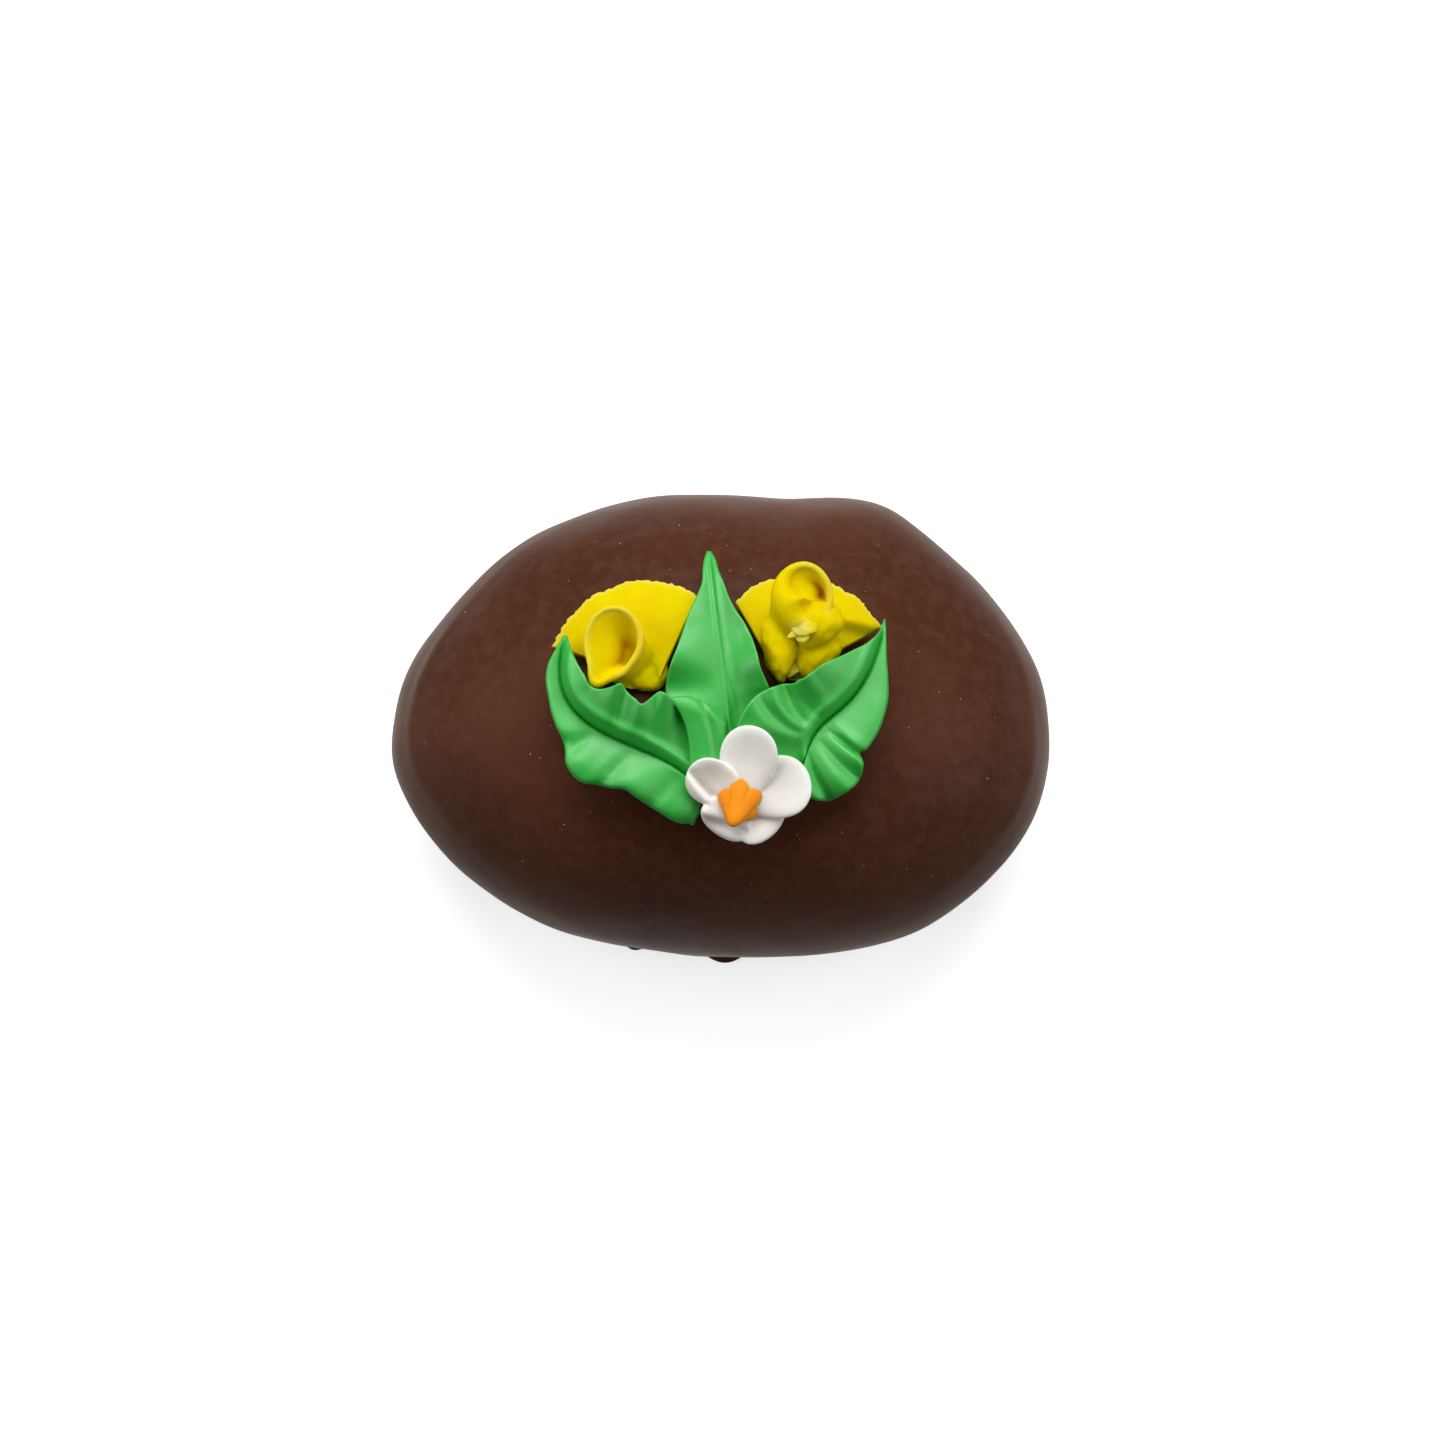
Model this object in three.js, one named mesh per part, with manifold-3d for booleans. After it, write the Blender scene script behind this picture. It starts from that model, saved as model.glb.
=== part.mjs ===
// A chocolate egg dipped by hand, lying on its flat foot, with flowers of royal icing on top:
// three green leaves, two yellow rosebuds and a white blossom with an orange centre.
// Millimetres. +Z is up, +X runs along the egg, and the front with the blossom faces -Y.
// The origin is on the ground under the middle of the egg.
import * as THREE from 'three';
import { mergeVertices } from 'three/addons/utils/BufferGeometryUtils.js';
import Module from 'manifold-3d';

// ---- Driving dimensions -------------------------------------------------------------------

// The egg's outline from above is a full ellipse of this size, with slight swells round it.
const EGG = {
  halfLength: 49.2,
  halfWidth: 34.8,
  fullness: 2.1,
  waist: 14.0,        // height of the widest level
  height: 44.0,
  foot: 0.86,         // flat base, as a share of the outline
  crown: 2.25,        // how flat the top is
  shoulder: 1.9,      // how round the side is
};
// Swells of the outline: [direction in degrees, spread in degrees, how far out in mm].
const EGG_SWELLS = [
  [55, 13, 2.6],
  [316, 26, 2.8],
  [346, 12, 1.0],
  [157, 16, -2.0],
  [187, 9, 1.1],
  [232, 12, 0.5],
  [22, 10, -0.4],
  [104, 20, 0.4],
];

const GAP = 0.35;            // clear space between icing and chocolate
const CUT_MARGIN = 0.42;     // clear space cut round a neighbouring piece
const THINNEST = 0.3;        // least thickness left where a sheet is pressed on the egg
const LEAF_BED = 1.25;       // height of a leaf's middle surface over the chocolate
const LEAF_RIM = 0.9;        // thickness at a leaf's rim
const LEAF_BODY = 1.0;       // added along its vein

// A leaf hangs on its vein, a curve of four points from base to tip seen from above, and stands up to
// its tip's lift there. The vein is a ridge and a groove: distance to the right, width and height.
// Each side has its reach from the vein and the lift of its rim, at places along the vein, how far it
// fans back round the base in degrees and up to where, how its rise is spread from vein to rim, how
// much it arches, how far it holds up like a shelf before its rim turns down, and its ribs: [place at
// the rim, spread, height]. A rib starts nearer the base at the vein, by the sweep.
const LEAVES = {
  leaf_middle: {
    vein: [[2.1, -11.6], [1.0, -0.5], [-0.8, 10.5], [-1.7, 21.6]],
    tipLift: 1.4,
    ridge: [0, 0.4, 0.5],
    groove: [1.3, 0.9, 0.4],
    left: {
      heel: 5, heelTo: 0.34, curl: 1.1, arch: 0.35, shelf: 0, sweep: 0.04,
      reach: [[0, 1.5], [0.1, 6.0], [0.22, 6.0], [0.35, 8.4], [0.48, 7.5], [0.65, 4.8], [0.79, 2.4],
        [0.9, 1.2], [1, 0.5]],
      lift: [[0, 0.3], [0.33, 0.8], [0.5, 2.2], [0.65, 2.2], [1, 0]],
      ribs: [[0.4, 0.05, -0.5], [0.52, 0.07, 0.5]],
    },
    right: {
      heel: 20, heelTo: 0.33, curl: 1, arch: -0.15, shelf: 0, sweep: 0.04,
      reach: [[0, 1.5], [0.13, 4.6], [0.31, 6.4], [0.42, 5.4], [0.57, 4.7], [0.7, 3.0], [0.84, 1.7],
        [1, 0.5]],
      lift: [[0, 0], [0.27, 0.6], [0.36, 2.8], [0.45, 3.6], [0.63, 1.8], [1, 0]],
      ribs: [[0.46, 0.06, 0.5], [0.6, 0.05, -0.4]],
    },
  },
  leaf_left: {
    vein: [[-2.3, -14.4], [-7.7, -5.2], [-27.0, -8.1], [-22.2, 8.6]],
    tipLift: 3.2,
    ridge: [1.15, 0.85, 0.75],
    groove: [0, 0.3, 0.65],
    left: {
      heel: 45, heelTo: 0.36, curl: 1, arch: 0, shelf: 1, sweep: 0.07,
      reach: [[0, 2.4], [0.055, 5.5], [0.15, 7.0], [0.34, 6.4], [0.5, 7.9], [0.585, 6.6], [0.64, 4.3],
        [0.79, 2.4], [0.91, 1.75], [1, 0.5]],
      lift: [[0, 0.8], [0.1, 1.6], [0.3, 2.9], [0.5, 3.3], [0.7, 2.1], [0.9, 0.8], [1, 0]],
      ribs: [[0.625, 0.03, -0.8], [0.56, 0.045, 0.5], [0.44, 0.04, -0.7], [0.235, 0.04, -0.7]],
    },
    right: {
      heel: 10, heelTo: 0.34, curl: 0.62, arch: 0.15, shelf: 0, sweep: 0.05,
      reach: [[0, 1.5], [0.19, 4.6], [0.25, 6.9], [0.345, 8.2], [0.4, 6.0], [0.45, 5.8], [0.55, 6.8],
        [0.66, 4.4], [0.84, 3.4], [0.96, 1.3], [1, 0.5]],
      lift: [[0, 0.1], [0.22, 0.4], [0.345, 4.6], [0.4, 4.1], [0.54, 4.8], [0.7, 3.4], [0.92, 1.6], [1, 0]],
      ribs: [[0.37, 0.03, -0.8], [0.515, 0.03, -0.6]],
    },
  },
  leaf_right: {
    vein: [[12.4, -8.4], [13.9, -1.2], [20.6, -4.4], [23.6, 11.1]],
    tipLift: 3.6,
    ridge: [-1.1, 0.85, 0.65],
    groove: [0, 0.3, 0.6],
    left: {
      heel: 80, heelTo: 0.35, curl: 0.7, arch: 0.1, shelf: 0, sweep: 0.1,
      reach: [[0, 8.2], [0.14, 11.2], [0.23, 9.9], [0.31, 7.1], [0.475, 6.2], [0.655, 5.75], [0.85, 2.95],
        [0.94, 0.8], [1, 0.5]],
      lift: [[0, 0], [0.1, 1.2], [0.15, 2.8], [0.29, 3.0], [0.35, 4.2], [0.65, 4.2], [0.8, 2.4], [1, 0]],
      ribs: [[0.16, 0.03, -0.4], [0.26, 0.025, 0.6], [0.3, 0.025, -0.8]],
    },
    right: {
      heel: 97, heelTo: 0.33, curl: 1, arch: 0.2, shelf: 0.8, sweep: 0.08,
      reach: [[0, 4.8], [0.08, 8.3], [0.17, 9.7], [0.275, 9.0], [0.34, 7.0], [0.5, 6.6], [0.635, 5.3],
        [0.79, 3.0], [0.94, 0.8], [1, 0.5]],
      lift: [[0, 0.8], [0.1, 1.9], [0.3, 2.8], [0.45, 2.6], [0.6, 2.3], [0.8, 1.2], [1, 0]],
      ribs: [[0.12, 0.025, -0.6], [0.19, 0.03, 0.5], [0.345, 0.025, -0.8]],
    },
  },
};
// A rib rises from this share of the way to the rim, over this much of it.
const RIB = { from: 0.12, over: 0.6 };
const BROAD = 5;             // reach in mm from which a side arches fully
const VEIN_END = 0.08;       // share of its length over which the vein runs out at the tip
const FAN_BACK = 1.5;        // how soon the fan round the base comes to an end
const ROW_CROWDING = 1.7;    // how much the rows of a leaf crowd towards its vein

// A raised fold on the middle leaf's left side, a second stroke. Its left and right edges are curves
// of three points from its upper end down, and its lifts are those of its left and right corners.
const FLAP = {
  left: [[-7.7, -1.2], [-4.2, -3.2], [-4.4, -10.6]],
  right: [[0.9, -3.6], [1.0, -6.0], [0.7, -10.8]],
  bulge: 1.5,          // how far its upper end curves out
  upperLift: [4.6, 2.9],
  lowerLift: [2.9, 2.3],
  sink: 1.5,           // how far its upper right corner dips into the leaf
  sinkTo: 0.3,         // and up to which share of its length
  arch: 0.4,
  thickness: 1.1,
};

// A rosebud is a flat fan of petal with a rolled petal standing on it. Angles in degrees from +X.
// The roll is a cup: it widens from its root to its mouth, and its hollow ends in a slit. Swells
// thicken its wall: [direction, spread, how much in mm].
const ROSEBUDS = {
  rosebud_left: {
    fan: {
      pivot: [-9.0, 1.3], start: 66, end: 158, startRadius: 14.4, endRadius: 16.4, bulge: 0.9,
      bed: 1.2, rise: 1.3, lip: 0,
    },
    roll: {
      root: [-11.4, 2.7, 0.9], rootRadius: [4.4, 2.4],
      mouth: [-15.2, 7.0, 5.3], mouthRadius: [4.0, 5.0],
      corners: [[240, 18, 1.9], [-45, 35, -0.7]],
      slope: [0.04, 0.1], flare: 0.4, wall: 0.8, swells: [[0, 60, 0.25], [255, 30, 0.8]],
      throat: [-13.9, 5.7], slit: [0.25, 1.1], depth: 0.2, steep: 0.24, shallow: 1.5, plump: 0.3,
    },
    folds: [
      { at: [-9.9, 2.7, 0.65], size: [2.9, 2.2, 1.4], turn: 35 },
    ],
  },
  rosebud_right: {
    fan: {
      pivot: [8.6, 1.6], start: 30, end: 118.5, startRadius: 16.8, endRadius: 13.8, bulge: 1.3,
      bed: 1.2, rise: 1.3, lip: 1.6,
    },
    roll: {
      root: [11.2, 4.9, 0.9], rootRadius: [5.0, 3.2],
      mouth: [11.7, 13.3, 6.9], mouthRadius: [4.3, 4.8],
      corners: [[80, 30, 0.2], [255, 25, 0.4], [-25, 35, -0.2]],
      slope: [-0.05, 0.12], flare: 0.3, wall: 1.0, swells: [[200, 60, 4.2], [262, 34, 1.2]],
      throat: [14.3, 14.0], slit: [0.6, 1.5], depth: 0.55, steep: 0.4, shallow: 1.5, plump: 0.8,
    },
    folds: [
      { at: [8.5, 6.8, 1.9], size: [2.6, 5.2, 2.6], turn: 2 },
      { at: [13.4, 6.2, 1.8], size: [3.5, 3.9, 2.3], turn: -18 },
      { at: [13.6, 9.8, 4.5], size: [3.5, 3.7, 2.6], turn: -25 },
      { at: [11.4, 8.5, 6.2], size: [2.2, 1.0, 0.9], turn: 15 },
    ],
  },
};
// Fans are thicker towards their pivot, and start a little way out from it. A lip is a ridge that runs
// out from the middle of the fan and bends on its way.
const FAN = { rim: 0.8, heart: 0.9, near: 0.08, lipWidth: 0.13, lipBend: 0.3, lipFrom: 0.5, lipOver: 0.3 };
// How soon a roll comes over to its mouth as it rises, how soon it widens, and how high its brim
// stands for its thickness. A fold is narrower at its front by its taper.
const ROLL = { lean: 0.35, spread: 0.85, brim: 0.42 };
// The side of a roll's hollow that lies shallow: its direction and spread, and the same for its bulge.
const HOLLOW = { shallowAt: 180, shallowSpread: 70, bulgeAt: 195, bulgeSpread: 75 };
const FOLD_TAPER = 0.35;

// Five petals round the blossom's middle. Each has its direction in degrees, length, half width, how
// high its tip is set, how far its clockwise side stands up, and how far its tip droops.
const BLOSSOM = {
  at: [2.9, -15.0],
  lift: 2.8,
  lean: [-4, -14],     // how far its face leans towards +X and +Y, degrees
  petals: [
    { turn: 79, length: 10.9, halfWidth: 4.7, level: 0.2, twist: 1.1, droop: 0 },
    { turn: 19, length: 10.5, halfWidth: 5.0, level: 0, twist: 1.2, droop: 0.2 },
    { turn: -46, length: 6.9, halfWidth: 4.5, level: -0.7, twist: 0.4, droop: 0.5 },
    { turn: 235, length: 6.2, halfWidth: 4.4, level: -0.1, twist: 0.5, droop: 1.6 },
    { turn: 148, length: 8.6, halfWidth: 3.9, level: 0.3, twist: 0.9, droop: 0.2 },
  ],
  thickness: 1.8,
  cup: 1.2,            // height that a petal's rim gains
  hollow: 0.7,
  base: 0.5,           // height of a petal's middle surface over the face
  start: -0.1,         // where a petal starts, as a share of its length
  middle: 0.45,        // where it is widest
  width: 0.86,         // how full it is
  narrowing: 0.22,     // how much narrower it is near the blossom's middle
  rise: 0.4,           // share of its length over which it comes to its level
  droopFrom: 0.6,
};

// The orange centre is one pressed star of icing, pulled to a point that leans to the front.
// Its lobes are round, and the grooves between them sharp and fading towards the point.
const CENTRE = {
  radius: 3.7, height: 4.6, lobes: 5, roundness: 0.7, grooveDepth: 0.42, fading: 2, turn: 92, foot: 0.9,
  taper: 0.5, waist: 0.25, waistAt: 0.5, lean: [-0.9, -2.9], bend: 1.3, sink: 0.5,
};

const COLOURS = {
  egg: 0x5a3526,
  leaf: 0x4fae55,
  rosebud: 0xecd002,
  blossom: 0xe4e0d8,
  centre: 0xe8841c,
};

// ---- Small tools for shapes ---------------------------------------------------------------

const wasm = await Module();
wasm.setup();

const SAME = 1e-4;           // points nearer than this are one
const radians = THREE.MathUtils.degToRad;
const clamp = THREE.MathUtils.clamp;
const lerp = THREE.MathUtils.lerp;
const bump = (at, where, spread) => Math.exp(-(((at - where) / spread) ** 2));

// Bump of an angle in degrees round a circle.
function angleBump(degrees, where, spread) {
  const away = THREE.MathUtils.euclideanModulo(degrees - where + 180, 360) - 180;
  return Math.exp(-((away / spread) ** 2));
}

// A smooth curve through stations of [place, value], at a place between the first and the last.
function through(stations, place) {
  const last = stations.length - 1;
  const slope = (i) => {
    const [from, low] = stations[Math.max(i - 1, 0)];
    const [to, high] = stations[Math.min(i + 1, last)];
    return (high - low) / (to - from);
  };
  const next = stations.findIndex(([at]) => at > place);
  const i = next < 0 ? last - 1 : next - 1;
  const [[from, low], [to, high]] = [stations[i], stations[i + 1]];
  const span = to - from;
  const t = (place - from) / span;
  const bend = t * (1 - t) * ((1 - t) * slope(i) - t * slope(i + 1)) * span;
  return lerp(low, high, t * t * (3 - 2 * t)) + bend;
}

// Radius of the egg's outline in a direction.
function outline(angle) {
  const { halfLength, halfWidth, fullness } = EGG;
  const along = Math.abs(Math.cos(angle)) / halfLength;
  const across = Math.abs(Math.sin(angle)) / halfWidth;
  let radius = (along ** fullness + across ** fullness) ** (-1 / fullness);
  for (const [where, spread, out] of EGG_SWELLS) {
    radius += out * angleBump(THREE.MathUtils.radToDeg(angle), where, spread);
  }
  return radius;
}

// Height of the chocolate over a place in the plan.
function chocolate(x, y) {
  const share = clamp(Math.hypot(x, y) / outline(Math.atan2(y, x)), 0, 1);
  return EGG.waist + (EGG.height - EGG.waist) * (1 - share ** EGG.crown) ** (1 / EGG.shoulder);
}

// A solid from corner points and triangles.
function solid(points, triangles) {
  const geometry = new THREE.BufferGeometry();
  geometry.setAttribute('position', new THREE.Float32BufferAttribute(points.flat(), 3));
  geometry.setIndex(triangles.flat());
  return toManifold(mergeVertices(geometry, SAME));
}

function toManifold(geometry) {
  return new wasm.Manifold(new wasm.Mesh({
    numProp: 3,
    vertProperties: new Float32Array(geometry.attributes.position.array),
    triVerts: new Uint32Array(geometry.index.array),
  }));
}

function toGeometry(manifold) {
  const { vertProperties, triVerts } = manifold.getMesh();
  const geometry = new THREE.BufferGeometry();
  geometry.setAttribute('position', new THREE.BufferAttribute(vertProperties, 3));
  geometry.setIndex(new THREE.BufferAttribute(triVerts, 1));
  geometry.computeVertexNormals();
  return geometry;
}

// The same solid with its skin moved out, for cutting a neighbour clear of it.
function grown(manifold, by) {
  const geometry = toGeometry(manifold);
  const { position, normal } = geometry.attributes;
  for (let i = 0; i < position.count; i += 1) {
    position.setXYZ(
      i,
      position.getX(i) + by * normal.getX(i),
      position.getY(i) + by * normal.getY(i),
      position.getZ(i) + by * normal.getZ(i),
    );
  }
  return toManifold(geometry);
}

// The largest body of a cut piece: crumbs that a cut leaves loose are dropped.
function largest(manifold) {
  const bodies = manifold.decompose();
  return bodies.reduce((best, body) => (body.volume() > best.volume() ? body : best));
}

// A thin wavy solid. middle(u, v) gives its middle surface for u and v from 0 to 1 and
// thickness(u, v) its upright thickness. Both faces are split into triangles alike, and the under
// face never comes nearer to the chocolate than the gap.
function sheet(middle, thickness, columns, rows) {
  const upper = [];
  const lower = [];
  for (let i = 0; i <= columns; i += 1) {
    for (let j = 0; j <= rows; j += 1) {
      const [u, v] = [i / columns, j / rows];
      const { x, y, z } = middle(u, v);
      const half = thickness(u, v) / 2;
      const floor = chocolate(x, y) + GAP;
      upper.push([x, y, Math.max(z + half, floor + THINNEST)]);
      lower.push([x, y, Math.max(z - half, floor)]);
    }
  }
  const width = rows + 1;
  const offset = upper.length;
  const triangles = [];
  for (let i = 0; i < columns; i += 1) {
    for (let j = 0; j < rows; j += 1) {
      const a = i * width + j;
      const b = a + width;
      const c = offset + a;
      const d = offset + b;
      triangles.push([a, b, a + 1], [a + 1, b, b + 1]);
      triangles.push([c, c + 1, d], [c + 1, d + 1, d]);
    }
  }
  const edge = [
    ...Array.from({ length: columns }, (_, i) => i * width),
    ...Array.from({ length: rows }, (_, j) => columns * width + j),
    ...Array.from({ length: columns }, (_, i) => (columns - i) * width + rows),
    ...Array.from({ length: rows }, (_, j) => rows - j),
  ];
  edge.forEach((a, k) => {
    const b = edge[(k + 1) % edge.length];
    triangles.push([a, offset + a, b], [b, offset + a, offset + b]);
  });
  return facingOut(solid([...upper, ...lower], triangles), [...upper, ...lower], triangles);
}

// Turns a solid's faces round if they point inwards.
function facingOut(manifold, points, triangles) {
  return manifold.volume() > 0 ? manifold : solid(points, triangles.map(([a, b, c]) => [a, c, b]));
}

// A solid from closed rings laid one after another, with a pole at each end.
function rings(loops, firstPole, lastPole) {
  const count = loops[0].length;
  const points = [firstPole, ...loops.flat(), lastPole];
  const last = points.length - 1;
  const triangles = [];
  for (let k = 0; k < count; k += 1) {
    const next = (k + 1) % count;
    triangles.push([0, 1 + next, 1 + k]);
    for (let i = 0; i < loops.length - 1; i += 1) {
      const a = 1 + i * count;
      const b = a + count;
      triangles.push([a + k, a + next, b + k], [a + next, b + next, b + k]);
    }
    const top = 1 + (loops.length - 1) * count;
    triangles.push([top + k, top + next, last]);
  }
  return facingOut(solid(points, triangles), points, triangles);
}

// ---- The egg ------------------------------------------------------------------------------

function makeEgg() {
  const around = 64;
  const below = 6;
  const above = 14;
  const ring = (share, z) => Array.from({ length: around }, (_, k) => {
    const angle = (2 * Math.PI * k) / around;
    const radius = share * outline(angle);
    return [radius * Math.cos(angle), radius * Math.sin(angle), z];
  });
  const loops = [];
  for (let i = 0; i < below; i += 1) {
    const turn = (Math.PI / 2) * (i / below);
    loops.push(ring(EGG.foot + (1 - EGG.foot) * Math.sin(turn), EGG.waist * (1 - Math.cos(turn))));
  }
  for (let i = 0; i < above; i += 1) {
    const turn = (Math.PI / 2) * (i / above);
    const share = Math.cos(turn) ** (2 / EGG.crown);
    const rise = Math.sin(turn) ** (2 / EGG.shoulder);
    loops.push(ring(share, EGG.waist + (EGG.height - EGG.waist) * rise));
  }
  return rings(loops, [0, 0, 0], [0, 0, EGG.height]);
}

// ---- Leaves -------------------------------------------------------------------------------

function veinPoint(vein, s) {
  const [a, b, c, d] = vein.map(([x, y]) => new THREE.Vector2(x, y));
  const curve = new THREE.CubicBezierCurve(a, b, c, d);
  return { place: curve.getPoint(s), heading: curve.getTangent(s).angle() };
}

// Middle surface of a leaf: s from base to tip, t from -1 at the left rim to 1 at the right.
function leafPoint(leaf, s, t) {
  const sign = t < 0 ? -1 : 1;
  const side = t < 0 ? leaf.left : leaf.right;
  const { place, heading } = veinPoint(leaf.vein, s);
  const swing = radians(side.heel) * Math.max(0, 1 - s / side.heelTo) ** FAN_BACK;
  const across = heading - sign * (Math.PI / 2 + swing);
  const a = Math.abs(t);
  const reach = through(side.reach, s);
  const away = a * reach;
  const x = place.x + away * Math.cos(across);
  const y = place.y + away * Math.sin(across);
  let lift = LEAF_BED + leaf.tipLift * s ** 3 + through(side.lift, s) * a ** side.curl;
  const broad = clamp(reach / BROAD, 0, 1);
  lift += broad * (side.arch * Math.sin(Math.PI * a) + side.shelf * a * (1 - a ** 8));
  for (const [at, spread, up] of side.ribs) {
    lift += up * bump(s + side.sweep * (1 - a), at, spread) * clamp((a - RIB.from) / RIB.over, 0, 1);
  }
  const fade = clamp((1 - s) / VEIN_END, 0, 1);
  const [ridgeAt, ridgeWidth, ridgeHeight] = leaf.ridge;
  const [grooveAt, grooveWidth, grooveDepth] = leaf.groove;
  lift += fade * ridgeHeight * bump(sign * away, ridgeAt, ridgeWidth);
  lift -= fade * grooveDepth * bump(sign * away, grooveAt, grooveWidth);
  return new THREE.Vector3(x, y, chocolate(x, y) + lift);
}

function makeLeaf(leaf) {
  const middle = (u, v) => leafPoint(leaf, u, crowd(2 * v - 1));
  const thickness = (u, v) => {
    const t = Math.abs(crowd(2 * v - 1));
    return LEAF_RIM + LEAF_BODY * (1 - t) ** 1.5 * clamp((1 - u) / 0.3, 0.3, 1);
  };
  return sheet(middle, thickness, 20, 12);
}

function crowd(t) {
  return Math.sign(t) * Math.abs(t) ** ROW_CROWDING;
}

function makeFlap() {
  const edge = (points) => {
    const [upper, bend, lower] = points.map(([x, y]) => new THREE.Vector2(x, y));
    return new THREE.QuadraticBezierCurve(upper, bend, lower);
  };
  const left = edge(FLAP.left);
  const right = edge(FLAP.right);
  const middle = (u, v) => {
    const hump = 4 * v * (1 - v);
    const { x, y } = left.getPoint(u).lerp(right.getPoint(u), v);
    const out = y + FLAP.bulge * hump * (1 - u) ** 3;
    const dip = FLAP.sink * v ** 0.7 * Math.max(0, 1 - u / FLAP.sinkTo) ** 2;
    const level = lerp(lerp(...FLAP.upperLift, v), lerp(...FLAP.lowerLift, v), u);
    const lift = level + FLAP.arch * hump - dip;
    return new THREE.Vector3(x, out, chocolate(x, out) + lift);
  };
  return sheet(middle, () => FLAP.thickness, 8, 8);
}

// ---- Rosebuds -----------------------------------------------------------------------------

function makeFan(fan) {
  const middle = (u, v) => {
    const w = lerp(FAN.near, 1, u);
    const angle = radians(lerp(fan.start, fan.end, v));
    const radius = w * (lerp(fan.startRadius, fan.endRadius, v) + fan.bulge * Math.sin(Math.PI * v));
    const x = fan.pivot[0] + radius * Math.cos(angle);
    const y = fan.pivot[1] + radius * Math.sin(angle);
    const ridge = FAN.lipBend * clamp((1 - w) / 0.4, 0, 1);
    const out = clamp((w - FAN.lipFrom) / FAN.lipOver, 0, 1);
    const lip = fan.lip * bump(v, ridge, FAN.lipWidth) * out;
    const lift = fan.bed + fan.rise * w * w * (1 - 0.5 * (2 * v - 1) ** 4) + lip;
    return new THREE.Vector3(x, y, chocolate(x, y) + lift);
  };
  return sheet(middle, (u) => FAN.rim + FAN.heart * (1 - u), 6, 12);
}

// The rolled petal. Outer wall from the root up to the mouth, over the rim and down to the throat.
function makeRoll(roll) {
  const around = 24;
  const [rootX, rootY, rootLift] = roll.root;
  const [mouthX, mouthY, mouthLift] = roll.mouth;
  const [throatX, throatY] = roll.throat;
  const rootZ = chocolate(rootX, rootY) + rootLift;
  const mouthZ = chocolate(mouthX, mouthY) + mouthLift;
  const outer = (degrees, h, inset) => {
    const angle = radians(degrees);
    const corner = sumOfBumps(roll.corners, degrees);
    const radius = (i) => roll.flare * h ** 5 - inset
      + lerp(roll.rootRadius[i], roll.mouthRadius[i] + corner, h ** ROLL.spread);
    const x = radius(0) * Math.cos(angle);
    const y = radius(1) * Math.sin(angle);
    const tilt = (roll.slope[0] * x + roll.slope[1] * y) * h;
    const leaned = h ** ROLL.lean;
    return [
      lerp(rootX, mouthX, leaned) + x,
      lerp(rootY, mouthY, leaned) + y,
      lerp(rootZ, mouthZ, h) + tilt,
    ];
  };
  const wallAt = (degrees) => roll.wall + sumOfBumps(roll.swells, degrees);
  const inner = (degrees, k) => {
    const [x, y, z] = outer(degrees, lerp(roll.depth, 1, k), wallAt(degrees));
    const along = Math.cos(radians(degrees) - Math.atan2(roll.slit[1], roll.slit[0]));
    const gentle = angleBump(degrees, HOLLOW.shallowAt, HOLLOW.shallowSpread);
    const wide = k ** lerp(roll.steep, roll.shallow, gentle);
    const full = angleBump(degrees, HOLLOW.bulgeAt, HOLLOW.bulgeSpread);
    const bulge = roll.plump * full * Math.sin(Math.PI * wide);
    return [
      lerp(throatX + roll.slit[0] * along, x, wide),
      lerp(throatY + roll.slit[1] * along, y, wide),
      z + bulge,
    ];
  };
  const loop = (point) => Array.from({ length: around }, (_, k) => point((360 * k) / around));
  const wall = [0, 0.25, 0.5, 0.75, 1].map((h) => loop((degrees) => outer(degrees, h, 0)));
  const brim = [60, 120].map((turn) => loop((degrees) => {
    const [x, y, z] = outer(degrees, 1, 0.5 * wallAt(degrees) * (1 - Math.cos(radians(turn))));
    return [x, y, z + ROLL.brim * wallAt(degrees) * Math.sin(radians(turn))];
  }));
  const hollow = [1, 0.7, 0.4, 0.15, 0.02].map((k) => loop((degrees) => inner(degrees, k)));
  const deepest = hollow.at(-1).reduce((least, [, , z]) => Math.min(least, z), Infinity);
  return rings([...wall, ...brim, ...hollow], [rootX, rootY, rootZ], [throatX, throatY, deepest]);
}

// The sum of bumps round a circle, each [direction in degrees, spread, height], in one direction.
function sumOfBumps(bumps, degrees) {
  return bumps.reduce((sum, [at, spread, height]) => sum + height * angleBump(degrees, at, spread), 0);
}

// A plump fold of petal, rounded all over and narrower at its front.
function makeFold({ at, size, turn }) {
  const [x, y, lift] = at;
  const geometry = new THREE.SphereGeometry(1, 12, 7);
  const { position } = geometry.attributes;
  for (let i = 0; i < position.count; i += 1) {
    position.setX(i, position.getX(i) * (1 + FOLD_TAPER * position.getY(i)));
  }
  geometry.scale(...size);
  geometry.rotateZ(radians(turn));
  geometry.translate(x, y, chocolate(x, y) + lift);
  return pressed(geometry);
}

// Lifts whatever would come too near to the chocolate.
function pressed(geometry) {
  geometry.deleteAttribute('normal');
  geometry.deleteAttribute('uv');
  const merged = mergeVertices(geometry, SAME);
  const { position } = merged.attributes;
  for (let i = 0; i < position.count; i += 1) {
    const floor = chocolate(position.getX(i), position.getY(i)) + GAP;
    position.setZ(i, Math.max(position.getZ(i), floor));
  }
  return toManifold(merged);
}

function makeRosebud({ fan, roll, folds }) {
  return folds.reduce((whole, fold) => whole.add(makeFold(fold)), makeFan(fan).add(makeRoll(roll)));
}

// ---- Blossom ------------------------------------------------------------------------------

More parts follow.
